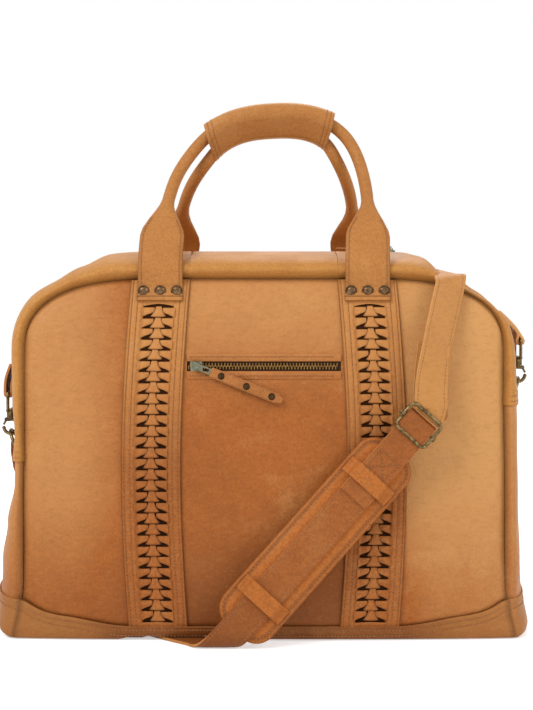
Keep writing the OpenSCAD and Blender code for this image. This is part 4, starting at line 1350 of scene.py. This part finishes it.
# Handles
def handle_out(f):
    along = -RISE * ARCH * signed_power(cosd(f), OUT_POWER)
    return Vector((along, HANDLE_HALF * abs(sind(f)) ** OUT_POWER)).normalized()


def handle_y(sg, v):
    return lerp(-sg * FOLD_Y, MEET_Y if sg > 0 else MEET_Y + DROP_Y, smooth(v / (0.82 * REACH)))


def settled(p):
    """The worn handles lean to the right and sit a little higher on that side."""
    p.x += LEAN_X * smooth((p.z - 355) / 155)
    p.z += TILT * (p.x - 8) * smooth((p.z - 440) / 50)
    return p


def arch_height(f):
    return LEG + ARCH * abs(sind(f)) ** ARCH_POWER


def handle_arch(sg, f):
    o = 0 if sg > 0 else DROP_N * smooth(sind(f) / 0.68)
    n = handle_out(f)
    v = arch_height(f)
    x = -(HANDLE_HALF - (BACK_IN if sg < 0 else 0)) * signed_power(cosd(f), ARCH_POWER)
    return settled(Vector((x - n[0] * o, handle_y(sg, v), FOLD_Z + RISE * v - n[1] * o)))


def handle_leg(sg, sx, v):
    if v >= 0:
        y = handle_y(sg, v) + sg * 2.6 * (1 - smooth((v + 12) / 30))
        inward = BACK_IN * smooth(v / 46) if sg < 0 else 0
        return settled(Vector((sx * (HANDLE_HALF - inward), y, FOLD_Z + RISE * v)))
    z = FOLD_Z + v
    on_panel = sg * (front(sx * HANDLE_HALF, min(z, 338)) - 2.9 - TAB_T / 2)
    y = lerp(on_panel, handle_leg(sg, sx, 0).y, smooth((v + 14) / 14))
    return Vector((sx * HANDLE_HALF, y, z))


LEG_V = [-25, -24.7, -23.8, -22.6, -22, -21.5, -21, -20.5, -19.5, -16] + steps(-12, 46, 18)
ARCH_F = [180 * i / 72 for i in range(73)]


def handle_line(sg):
    left = [(handle_leg(sg, -1, v), v) for v in LEG_V]
    arch = [(handle_arch(sg, f), arch_height(f)) for f in ARCH_F]
    right = [(handle_leg(sg, 1, v), v) for v in reversed(LEG_V)]
    return left + arch + right


def tab_half(v):
    return lerp(TAB_HALF, TUBE_R, smooth((v - 42) / 42)) + 0.8 * smooth((-v - 6) / 18)


def tab_thick(v):
    return lerp(TAB_T / 2, TUBE_R, smooth((v - 36) / 46)) + 1.1 * smooth((-v - 21.2) / 1.0)


def handle_frames(sg):
    line = handle_line(sg)
    frames = []
    for i, (p, v) in enumerate(line):
        t = (line[min(i + 1, len(line) - 1)][0] - line[max(i - 1, 0)][0]).normalized()
        s = t.cross(Y).normalized()
        frames.append((p, v, s, s.cross(t)))
    return frames


def handle(word, sg):
    frames = handle_frames(sg)
    name, body = f"handle_leather_{word}", f"{word}_handle"

    def bend(piece):
        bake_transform(piece)

    def place(a, b):
        p, v, s, m = pick(frames, b)
        q = lerp(0.45, 1, smooth((v - 38) / 38))
        wide, deep = signed_power(cosd(360 * a), q), signed_power(sind(360 * a), q)
        return p + s * tab_half(v) * wide + m * tab_thick(v) * deep

    def shade(a, b):
        v = pick(frames, b)[1]
        side = abs(cosd(360 * a)) ** 6
        return 0.35 * side * (1 - smooth((v - 30) / 40)) + 0.6 * hump(v + 21.1, 0.6)

    piece = shaped_grid(name, 32, len(frames) - 1, place, shade)
    close_up(piece)
    dress(piece, HANDLE_LEATHER, "leather_handle", None, f"{word}_tabs", body, angle=55)
    bend(piece)
    rows = []
    for leg in (frames[:44], frames[::-1][:44]):
        for k in (-1, 1):
            row = []
            for p, v, s, m in leg:
                if -22 <= v <= 62:
                    out = -m if m.y * sg > 0 else m
                    row.append((p + s * k * (tab_half(v) - 3.2) + out * (tab_thick(v) + 0.05), out))
            rows.append(row)
    bend(stitches(name + "_stitching", rows, "leather_handle", None))


for word, sg in FACES:
    handle(word, sg)


def wrap(word, profile, node):
    name, body = f"grip_{word}", f"{word}_handle"

    def turn_at(a):
        return 90 + lerp(-WRAP_LEFT, WRAP_RIGHT, a)

    def place(a, b):
        f = turn_at(a)
        o = handle_out(f)
        n = Vector((o[0], 0, o[1]))
        stand = math.atan2(o[0], o[1]) * WRAP_STAND
        up = Vector((math.sin(stand), 0, math.cos(stand)))
        circle, angle = pick(profile, b)
        swell = WRAP_R + 1.8 * abs(2 * a - 1) ** 3
        center = handle_arch(1, f) + (Y * DROP_Y - n.lerp(up, 0.7) * DROP_N) * circle
        return center + (Y * cosd(angle) + up * sind(angle)) * swell

    # Painted light and shade: paler where the profile starts, on top of the front grip, and deeper further
    # round.
    piece = shaped_grid(name, 56, len(profile) - 1, place, flip=True,
                        painted_lighting=lambda a, b: lerp(0.35, -0.2, smooth(b / 0.6)))
    thicken(piece, WRAP_T, 0.6)
    dress(piece, HANDLE_LEATHER, "leather_handle", body, node)
    rows = []
    for a in (0.035, 0.075, 0.925, 0.965):
        inner = handle_arch(1, turn_at(a))
        points = [place(a, i / (len(profile) - 1)) for i in range(len(profile))]
        rows.append([(p, (p - inner).normalized()) for p in points])
    stitches(name + "_stitching", rows, "leather_handle", body, 3.2, 0.1)


# The way round the two rolls: 0 on the front roll or 1 on the back one, and the angle there
FRONT_PROFILE = ([(0, a) for a in steps(92, WRAP_LEAN, 18)]
                 + [(1, a) for a in (WRAP_LEAN, 225, 231, 238)])
BACK_PROFILE = ([(1, a) for a in steps(243, WRAP_LEAN + 180, 22)]
                + [(0, a) for a in (WRAP_LEAN - 180, 50, 62, 74, 86)])
wrap("front", FRONT_PROFILE, "handle_wrap")
wrap("back", BACK_PROFILE, "wrap_back")
RIVET_PROFILE = [(0, 2.5), (1.6, 2.38), (3.0, 1.95), (4.1, 1.25), (4.55, 0.7), (4.7, 0.62), (5.0, 0.95),
                 (5.5, 0.9), (5.75, 0.5), (5.75, -0.6)]


def rivet_pattern():
    def place(a, b):
        r, h = pick(RIVET_PROFILE, b)
        return Vector((r * cosd(360 * a), r * sind(360 * a), h))

    piece = shaped_grid("rivet_pattern", 24, len(RIVET_PROFILE) - 1, place)
    close_up(piece)
    return piece


RIVET = rivet_pattern()


def rivets(word, sg):
    turn = Matrix.Rotation(math.radians(90 * sg + 4), 4, 'X')
    places = []
    for sx in (-1, 1):
        p = handle_leg(sg, sx, RIVET_Z - FOLD_Z)
        for i in (-1, 0, 1):
            spot = shift(p.x + i * RIVET_PITCH, p.y - sg * (TAB_T / 2 - 0.1), p.z)
            places.append(put_by(spot @ turn))
    piece = copies_of(f"domed_rivets_{word}", RIVET, places)
    dress(piece, RIVET_METAL, "rivet_metal", "bag", f"{word}_rivets", angle=50)


for word, sg in FACES:
    rivets(word, sg)


# Shoulder strap: rows of places with the way that the face looks
ROW_W = [k * STRAP_W / 2 for k in (-1, -0.5, 0, 0.5, 1)]


def rows_of(line):
    rows = []
    for i, (p, n) in enumerate(line):
        t = (line[min(i + 1, len(line) - 1)][0] - line[max(i - 1, 0)][0]).normalized()
        m = (n - t * t.dot(n)).normalized()
        rows.append([(p + t.cross(m) * w, m) for w in ROW_W])
    return rows


def fold_end(sg, z):
    leans = (6, 1) if sg < 0 else (25, 10)
    line = [(Vector((sg * (HOOK_X + FOLD_S - lean), 0, z + h)), Vector((-sg, 0, 0)))
            for lean, h in zip(leans, (30, 15))]
    for a in range(0, 181, 30):
        line.append((Vector((sg * (HOOK_X + FOLD_S * cosd(a)), 0, z - FOLD_S * sind(a))),
                     Vector((-sg * cosd(a), 0, sind(a)))))
    return line + [(Vector((sg * (HOOK_X - FOLD_S), 0, z + 10)), Vector((sg, 0, 0)))]


def on_gusset(sg, y, zz):
    u = sg * (OUTLINE_END - zz)
    t = 0.5 - y / (2 * panel_lean(outline(u)[1]))

    def bed(u, t):
        return plain_roll(u, t, from_table(STRAP_BED, u) if sg > 0 else None)

    return lifted(bed, u, t, LIFT_S), normal_of(bed, u, t)


def on_back(x, z):
    n = Vector((plain_front(x + 1, z) - plain_front(x - 1, z), 2, 0)).normalized()
    return Vector((x, -plain_front(x, z) + LIFT_B, z)), n


ARC_R = 78
LEFT_BAR = RING_LEFT + BAR_UP
RIGHT_BAR = RING_RIGHT + BAR_UP
ARC_Z = LEFT_BAR + 24
CORNER_AT = 60
CORNER_LIFT = 5.5
EDGE_R = 9
EDGE_Y = -plain_front(BACK_X, 11) + LIFT_B - EDGE_R


def left_arc(a):
    """Strap on its way from the left side to the back, held off the rolled edge that it crosses."""
    s, z = ARC_R + ARC_R * cosd(a), ARC_Z + ARC_R * sind(a)
    p, n = on_gusset(-1, s * 0.92, z) if s < 106 else on_back(-PANEL_HALF + (s - 118), z)
    return p + n * CORNER_LIFT * hump(a - CORNER_AT, 18), n


def back_run():
    line = [left_arc(a) for a in (176, 164, 152, 140, 128, 116, 104, 92, 80, 72, 52, 42, 32, 21, 10, 0)]
    line += [on_back(BACK_X, z) for z in (ARC_Z - 30, 200, 150, 100, 60, 30, 18)]
    for a in range(0, 91, 15):
        line.append((Vector((BACK_X, EDGE_Y + EDGE_R * cosd(a), FLOOR_Z + EDGE_R * (1 - sind(a)))),
                     Vector((0, cosd(a), -sind(a)))))
    for i in range(1, 15):
        p = bezier(UNDER, i / 14)
        line.append((Vector((p[0], p[1], FLOOR_Z)), -Z))
    return line


BEND_R = 12
BEND_Y = 151.4
BEND_C = BEND_Y + BEND_R * math.radians(90 + LEAN_P)
BEND_TOP = (-BEND_Y - BEND_R * cosd(LEAN_P), FLOOR_Z + BEND_R + BEND_R * sind(LEAN_P))
BUCKLE_C = BEND_C + (BUCKLE_Z - BEND_TOP[1]) / cosd(LEAN_P)
PLANE_N = Vector((0, -cosd(LEAN_P), sind(LEAN_P)))
PLANE_T = Vector((DIR_A, DIR_C * sind(LEAN_P), DIR_C * cosd(LEAN_P)))
PLANE_B = PLANE_T.cross(PLANE_N)


def fold(a, c):
    """Strap line laid on the floor, round a bend and up a leaning plane."""
    if c < BEND_Y:
        return Vector((a, -c, FLOOR_Z)), -Z
    if c < BEND_C:
        f = math.degrees((c - BEND_Y) / BEND_R)
        return (Vector((a, -BEND_Y - BEND_R * sind(f), FLOOR_Z + BEND_R - BEND_R * cosd(f))),
                Vector((0, -sind(f), -cosd(f))))
    k = c - BEND_C
    return Vector((a, BEND_TOP[0] + k * sind(LEAN_P), BEND_TOP[1] + k * cosd(LEAN_P))), PLANE_N.copy()


def fold_row(c):
    a = BUCKLE_X - (BUCKLE_C - c) * DIR_A / DIR_C
    return [fold(a + DIR_C * w, c - DIR_A * w) for w in ROW_W]


BUCKLE_P = fold(BUCKLE_X, BUCKLE_C)[0]
BAR_N = 1.5 + 0.3 + STRAP_T / 2
BAR_P = BUCKLE_P + PLANE_N * BAR_N
# Lengths up the front at which the strap has a row
FRONT_C = (140, 146, 152, 158, 164, 170, 176, 184, 192, 205, 235, 270, 305, 335, 352)
# Rows of its sewn-down end: how far below the buckle and above the strap
TAIL = ((10, 6.7), (18, 6.7), (27, 5.4), (38, 3.3), (58, 3.3), (92, 3.3))
LOOP_T = 8.5


def flat_row(p, n):
    return [(p + PLANE_B * w, n) for w in ROW_W]


def tail_rows():
    rows = [flat_row(BAR_P - PLANE_N * BAR_N * cosd(a) + PLANE_T * LOOP_T * sind(a),
                     PLANE_N * cosd(a) - PLANE_T * sind(a)) for a in range(0, 181, 30)]
    return rows + [flat_row(BUCKLE_P - PLANE_T * k + PLANE_N * h, -PLANE_N) for k, h in TAIL]


FRAME_L = 14
TURN_R = 45
TOP_S = OUTLINE_END - 152
TOP_P = BAR_P + PLANE_T * FRAME_L
TOP_N = 1.6 + 0.35 + STRAP_T / 2
# Places where the strap folds over the shoulder and hangs, and how far it is turned there
SHOULDER_PATH = [((184, -60, 351.5), 14), ((182, -74, 350.5), 6), ((180.5, -86, 349.8), 0),
                 ((180, -95, 348.6), 0), ((179.5, -101.5, 345), 4), ((178.5, -105.5, 338.5), 10)]
HANG_TURN = 26
# Rows that dive round the buckle's middle bar: along, above and angle
DIVE = ((18.5, 6.3, 0), (15, 5.8, 15), (12.6, 3.6, 70), (12.4, 1.4, 115), (14, -0.4, 165), (18, -0.6, 180),
        (26, -0.8, 180))


def short_rows():
    up = [on_gusset(1, 0, RIGHT_BAR + h) for h in (24, 32)]
    turn = [on_gusset(1, -TURN_R + TURN_R * cosd(a), TOP_S - TURN_R + TURN_R * sind(a))
            for a in range(0, 91, 15)]
    rows = rows_of(fold_end(1, RIGHT_BAR) + up + turn)
    path = [Vector(p) for p, _ in SHOULDER_PATH]
    start, end = path[-1], TOP_P + PLANE_N * TOP_N
    drop = end - start
    curve = (start, start + drop * 0.33 + Vector((-3, -7, 0)), end - drop * 0.25 + Vector((-6, -3, 0)),
             end + PLANE_T * 8 + Vector((-2, 0, 0)))
    for i, (_, tilt) in enumerate(SHOULDER_PATH[:-1]):
        t = (path[i + 1] - path[max(0, i - 1)]).normalized()
        turned = HANG_TURN * smooth((i - 2) / 4)
        b = -Vector((cosd(tilt) * cosd(turned), sind(turned), -sind(tilt)))
        m = b.cross(t).normalized()
        rows.append([(path[i] + b * w, m) for w in ROW_W])
    for i in range(13):
        t = (bezier(curve, min(1, (i + 0.2) / 12)) - bezier(curve, max(0, (i - 0.2) / 12))).normalized()
        turned = HANG_TURN * (1 - smooth((i - 6) / 6))
        b = (-Vector((cosd(turned), sind(turned), 0))).lerp(-PLANE_B, smooth((i - 5) / 7))
        b = (b - t * t.dot(b)).normalized()
        rows.append([(bezier(curve, i / 12) + b * w, b.cross(t).normalized()) for w in ROW_W])
    for k, h, a in DIVE:
        n = PLANE_N * cosd(a) - PLANE_T * sind(a)
        p = BAR_P + PLANE_T * k + PLANE_N * (h - BAR_N)
        rows.append([(p - PLANE_B * w, n) for w in ROW_W])
    inner = [bezier(curve, 0.86 - 0.14 * i) - PLANE_N * (6.2 - i * 0.5) - PLANE_B * i for i in range(4)]
    return rows + rows_of([(p, -PLANE_N) for p in inner])


def catmull(p0, p1, p2, p3, t):
    return 0.5 * ((2 * p1) + (p2 - p0) * t + (2 * p0 - 5 * p1 + 4 * p2 - p3) * t * t
                  + (3 * p1 - p0 - 3 * p2 + p3) * t ** 3)


class Ribbon:
    """Smooth flat strap through rows of places."""

    def __init__(self, rows):
        self.rows = rows
        self.run = [0.0]
        for a, b in zip(rows, rows[1:]):
            self.run.append(self.run[-1] + (b[2][0] - a[2][0]).length)
        self.length = self.run[-1]

    def at(self, s, w):
        """Place and face direction at length s and at w across, from -1 to 1."""
        s = min(max(s, 0), self.length)
        i = max(k for k in range(len(self.run) - 1) if self.run[k] <= s + 1e-9)
        t = (s - self.run[i]) / max(1e-9, self.run[i + 1] - self.run[i])
        n = len(self.rows) - 1
        picks = [self.rows[min(n, max(0, i + k))] for k in (-1, 0, 1, 2)]
        columns = []
        for j in range(5):
            p = catmull(*[r[j][0] for r in picks], t)
            m = picks[1][j][1].lerp(picks[2][j][1], t)
            columns.append((p, m.normalized()))
        x = (w + 1) * 2
        j = min(3, int(x))
        f = x - j
        near = [columns[min(4, max(0, j + k))] for k in (-1, 0, 1, 2)]
        if j == 0:
            near[0] = (near[1][0] * 2 - near[2][0], near[1][1])
        if j == 3:
            near[3] = (near[2][0] * 2 - near[1][0], near[2][1])
        return catmull(*[c[0] for c in near], f), near[1][1].lerp(near[2][1], f).normalized()


STRAP_STEPS = sorted({s * w for w in (0, 0.25, 0.5, 0.74, 0.80, 0.86, 0.94, 0.985, 1) for s in (-1, 1)})
STITCH_W = 0.80


def strap_lift(w):
    edge = abs(w)
    return STRAP_T / 2 - 0.35 * smooth((edge - 0.9) / 0.1) - 0.22 * hump(edge - STITCH_W, 0.05)


def strap(name, ribbon, node, tone):
    count = int(ribbon.length / 3.2)

    def place(a, b):
        w = pick(STRAP_STEPS, a)
        p, m = ribbon.at(b * ribbon.length, w)
        return p + m * strap_lift(w)

    # tone gives the painted light and shade along the strap.
    piece = shaped_grid(name, len(STRAP_STEPS) - 1, count, place, painted_lighting=lambda a, b: tone(b * ribbon.length))
    piece.data.materials.append(STRAP_LEATHER)
    piece.data.materials.append(CUT_EDGE)
    p0, m0 = ribbon.at(ribbon.length / 2, 0)
    near = min(piece.data.polygons, key=lambda f: (f.center / MM - (p0 + m0 * 1.4)).length)
    if near.normal.dot(m0) < 0:
        turn_over(piece)
    thicken(piece, STRAP_T - 0.2, 0.35, rim=1)
    dress(piece, STRAP_LEATHER, "leather_strap", "bag", node)
    rows = []
    for face in (1, -1):
        for w in (-STITCH_W, STITCH_W):
            line = [ribbon.at(ribbon.length * i / count, w) for i in range(count + 1)]
            rows.append([(p + m * face * (strap_lift(w) - 0.05), m * face) for p, m in line])
    stitches(name + "_stitching", rows, "leather_strap", "bag", 3.6)


LONG = Ribbon(rows_of(fold_end(-1, LEFT_BAR) + back_run()) + [fold_row(c) for c in FRONT_C] + tail_rows())
SHORT = Ribbon(short_rows())
FRONT_S = LONG.run[len(LONG.run) - len(tail_rows()) - len(FRONT_C)]
# Painted light and shade: the long strap is deeper along its back and floor run, fading out low on its
# front; the upper strap is paler all along.
strap("strap_main", LONG, "strap_long", lambda s: -0.55 * smooth((FRONT_S + 95 - s) / 60))
strap("strap_upper", SHORT, "strap_short", lambda s: 0.6)


def on_tail(k, w):
    """Spot on the sewn-down end of the strap, k below the buckle and w across."""
    return BUCKLE_P - PLANE_T * k + PLANE_N * (TAIL[-1][1] + STRAP_T / 2 + 0.1) + PLANE_B * w, PLANE_N


BOX = ((40, -11), (40, 11), (62, 11), (62, -11))
BOX_LINES = ((0, 1), (1, 2), (2, 3), (3, 0), (0, 2), (1, 3))
box_rows = [[on_tail(*[lerp(p, q, t / 12) for p, q in zip(BOX[i], BOX[j])]) for t in range(13)]
            for i, j in BOX_LINES]
stitches("strap_end_stitching", box_rows, "leather_strap", "bag")

# Slide buckle: its outer bars stand over the strap, its middle bar runs under it
BUCKLE_BOW = 6.6


def buckle():
    w, l, r = STRAP_W / 2 + 0.7 + 1.6, FRAME_L, 4.5
    path = []
    for cx, cz, start in ((1, 1, 0), (-1, 1, 90), (-1, -1, 180), (1, -1, 270)):
        for a in range(0, 91, 15):
            path.append(Vector((cx * (w - r) + r * cosd(start + a), 0, cz * (l - r) + r * sind(start + a))))
    path.append(path[0])
    turn = (Matrix.Translation(BAR_P) @ Matrix.Rotation(math.radians(-LEAN_P), 4, 'X')
            @ Matrix.Rotation(math.radians(90) - math.atan2(DIR_C, DIR_A), 4, 'Y'))

    def place(a, b):
        i = round(b * (len(path) - 1))
        t = (path[(i + 1) % (len(path) - 1)] - path[i - 1 if i else -2]).normalized()
        s = t.cross(Y)
        bow = -BUCKLE_BOW * smooth((abs(path[i].z) - 2.5) / (l - 4))
        return turn @ (path[i] + s * 1.75 * cosd(360 * a) + Y * (bow + 1.5 * sind(360 * a)))

    piece = shaped_grid("buckle_wire", 12, len(path) - 1, place)
    close_up(piece, fill=False)
    dress(piece, BRASS, "brass", "bag", "buckle_frame", angle=60)


buckle()

# Shoulder pad
PAD_C = BUCKLE_P - PLANE_T * PAD_DOWN
PAD_FACE = -STRAP_T / 2 - 0.4
PAD_CORNER = 20
PAD_SEAM = 4.4


def on_pad(l, w, n):
    return PAD_C + PLANE_T * l + PLANE_B * w + PLANE_N * n


def pad_outline(a, inset):
    """Rounded rectangle, a from 0 to 1 round it, drawn in by inset."""
    hl, hw = PAD_HALF_L - inset, PAD_HALF_W - inset
    r = max(0.0, min(PAD_CORNER - inset, hw))
    quarter, f = int(a * 4) % 4, a * 4 - int(a * 4)
    if quarter % 2:
        f = 1 - f
    if f < 0.25:
        x, y = hl, lerp(0, hw - r, f / 0.25)
    elif f > 0.75:
        x, y = lerp(hl - r, 0, (f - 0.75) / 0.25), hw
    else:
        k = (f - 0.25) / 0.5 * 90
        x, y = hl - r + r * cosd(k), hw - r + r * sind(k)
    sx, sy = ((1, 1), (-1, 1), (-1, -1), (1, -1))[quarter]
    return Vector((sx * x, sy * y))


# Rings of the pad from its middle to its edge: inset and depth below the face
PAD_ROWS = [(29.8, 0.0), (24, 0.05), (17, 0.1), (11, 0.15), (7.6, 0.3), (5.6, 0.9), (PAD_SEAM, 1.35),
            (3.2, 1.15), (1.8, 1.2), (0.6, 1.9), (0, 3.0)]


def pad():
    rings = PAD_ROWS + [(i, PAD_T - n) for i, n in reversed(PAD_ROWS)]

    def place(a, b):
        inset, down = pick(rings, b)
        p = pad_outline(a % 1.0, inset)
        soft = 0.5 * noise.noise(Vector((p[0] * 0.02, p[1] * 0.03, 2.0)))
        return on_pad(*p, PAD_FACE - down + soft * smooth(inset / 12))

    def shade(_, b):
        inset = pick(rings, b)[0]
        return 0.5 * hump(inset - PAD_SEAM, 1.6) + 0.35 * smooth((2 - inset) / 2)

    piece = shaped_grid("shoulder_pad_leather", 160, len(rings) - 1, place, shade)
    close_up(piece)
    dress(piece, PAD_LEATHER, "leather_pad", "pad", "shoulder_pad", angle=70)
    seam = [pad_outline((i / 240) % 1.0, PAD_SEAM) for i in range(241)]
    rows = [[(on_pad(*p, n), PLANE_N * face) for p in seam]
            for face, n in ((1, PAD_FACE - 1.3), (-1, PAD_FACE - PAD_T + 1.3))]
    stitches("pad_stitching", rows, "leather_pad", "pad", 3.6)


pad()
BRIDGE_L = 74
BRIDGE_W = 16


def bridge(name, l):
    high = 3.3 + STRAP_T / 2 + 2.6
    inner = STRAP_W / 2 + 0.7
    half = [(inner + 10, 0.4), (inner + 5, 0.7), (inner + 2.6, high * 0.55), (inner + 0.4, high - 0.5),
            (inner - 3, high)]
    arch = [(-w, h) for w, h in half] + [(0, high + 0.3)] + half[::-1]

    def place(a, b):
        x = b * (len(arch) - 1)
        i = min(len(arch) - 2, int(x))
        near = [Vector(arch[min(len(arch) - 1, max(0, i + k))]) for k in (-1, 0, 1, 2)]
        return on_pad(l + lerp(-BRIDGE_W / 2, BRIDGE_W / 2, a), *catmull(*near, x - i))

    piece = shaped_grid(name, 8, 44, place, flip=True)
    thicken(piece, 1.8, 0.4)
    return piece


bridges = join("pad_loops", [bridge("pad_loop_low", -BRIDGE_L), bridge("pad_loop_high", BRIDGE_L)])
dress(bridges, PAD_LEATHER, "leather_pad", "pad", "pad_bridges")


# Ring tabs at the sides
def ring_tab(word, sg, z0):
    r = 2.1 + 2.0
    path = [(-r, -30), (-r, -20), (-r, -8)] + [(r * cosd(a), r * sind(a)) for a in range(180, -1, -20)]
    path += [(r + 0.1, -8), (r - 0.6, -16), (r - 1.6, -26), (r - 3.4, -31)]

    def place(a, b):
        x = b * (len(path) - 1)
        i = min(len(path) - 2, int(x))
        px, pz = Vector(path[i]).lerp(Vector(path[i + 1]), x - i)
        half = lerp(11, 5.5, smooth((-pz - 6) / 24))
        return Vector((sg * (RING_X + px), lerp(-half, half, a), z0 + pz))

    piece = shaped_grid(f"{word}_ring_leather", 8, 60, place, flip=sg > 0)
    thicken(piece, 1.9, 0.4)
    dress(piece, STRAP_LEATHER, "leather_strap", "bag", f"{word}_ring_tab")


ring_tab("left", -1, RING_LEFT)
ring_tab("right", 1, RING_RIGHT)


# Base and side seams
def seam_paths():
    paths = []
    for drop in (3.4, 8.6):
        row = []
        for c in rim_columns():
            z = rim_top(c) - drop
            if z >= 4:
                p = at_base(c, z, -1.15)
                row.append((p, (at_base(c, z, -2.15) - p).normalized()))
        paths.append(row)
    return paths


stitches("base_stitching", seam_paths(), "leather_base", "bag")
side_rows = []
across = [lerp(0.01, 0.99, even(i / 60)) for i in range(61)]
for sg, z in ((-1, SEAM_LEFT), (1, SEAM_RIGHT)):
    for drop in (4.0, 9.0):
        u = sg * (OUTLINE_END - z - drop)
        lift = SEAM_STEP * hump(drop, SEAM_RUN) + 0.1
        side_rows.append([(lifted(roll, u, t, lift), normal_of(roll, u, t)) for t in across])
stitches("side_seam_stitching", side_rows, "leather_top", "bag")

for node in ("main_slider", "main_pull_link", "pocket_slider", "pocket_pull_link"):
    refinish(node, SLIDER_METAL)
for word, _ in ENDS:
    for node in ("ring", "hook", "hook_gate", "swivel"):
        refinish(f"{word}_{node}", BRASS)
refinish("pocket_pull_rivets", DARK_METAL)
refinish("buckle_bar", BRASS)

for pattern in (STITCH, BELL, ARM, TOOTH, RIVET):
    throw_away(pattern)


# Floor, light and camera
def floor():
    deselect()
    bpy.ops.mesh.primitive_plane_add(size=12)
    ground = bpy.context.object
    ground.name = "floor"
    material, n, shader = new_material("pale floor")
    n.link((0.92, 0.92, 0.92, 1), shader.inputs['Base Color'])
    n.link(0.8, shader.inputs['Roughness'])
    rays = n.add('ShaderNodeLightPath')
    share = n.add('ShaderNodeMixShader')
    n.link(n.calc('MAXIMUM', rays.outputs['Is Camera Ray'], rays.outputs['Is Glossy Ray']), share.inputs[0])
    for i, strength in ((1, 0.0), (2, 0.5)):
        n.link(n.add('ShaderNodeEmission', Strength=strength).outputs[0], share.inputs[i])
    both = n.add('ShaderNodeAddShader')
    n.link(shader.outputs[0], both.inputs[0])
    n.link(share.outputs[0], both.inputs[1])
    n.link(both.outputs[0], material.node_tree.nodes['Material Output'].inputs['Surface'])
    ground.data.materials.append(material)


def sky():
    world = bpy.data.worlds.new("studio")
    bpy.context.scene.world = world
    world.use_nodes = True
    world.node_tree.nodes.clear()
    n = Nodes(world.node_tree)
    rays = n.add('ShaderNodeLightPath')
    seen = n.calc('MAXIMUM', rays.outputs['Is Camera Ray'], rays.outputs['Is Glossy Ray'])
    seen = n.calc('MAXIMUM', seen, rays.outputs['Is Transmission Ray'])
    back = n.add('ShaderNodeBackground', Color=(1, 1, 1, 1))
    n.link(n.ranged(seen, 0.0, 1.0, 0.55, 1.0), back.inputs['Strength'])
    n.link(back.outputs[0], n.add('ShaderNodeOutputWorld').inputs['Surface'])


def lamp(name, place, aim, size, power):
    deselect()
    bpy.ops.object.light_add(type='AREA', location=place)
    light = bpy.context.object
    light.name = name
    light.data.shape = 'DISK'
    light.data.size = size
    light.data.energy = power
    light.rotation_euler = (Vector(aim) - Vector(place)).to_track_quat('-Z', 'Y').to_euler()


# Where the photo was taken from, in metres, and how far the camera looks down
CAMERA_AT = (0.0024, -1.52, 0.33)
CAMERA_DOWN = 2.32
LENS = 74.6


def camera():
    deselect()
    bpy.ops.object.camera_add(location=CAMERA_AT, rotation=(math.radians(90 - CAMERA_DOWN), 0, 0))
    view = bpy.context.object
    view.data.sensor_fit = 'VERTICAL'
    view.data.sensor_height = 36
    view.data.lens = LENS
    view.data.clip_end = 50
    bpy.context.scene.camera = view


floor()
sky()
lamp("key", (-1.4, -1.5, 1.9), (0, 0, 0.18), 1.4, 34)
lamp("fill", (1.7, -1.3, 1.2), (0, 0, 0.2), 1.6, 14)
lamp("back", (0.2, 1.4, 1.8), (0, 0, 0.3), 1.2, 14)
camera()
bpy.context.scene.view_settings.view_transform = 'Standard'
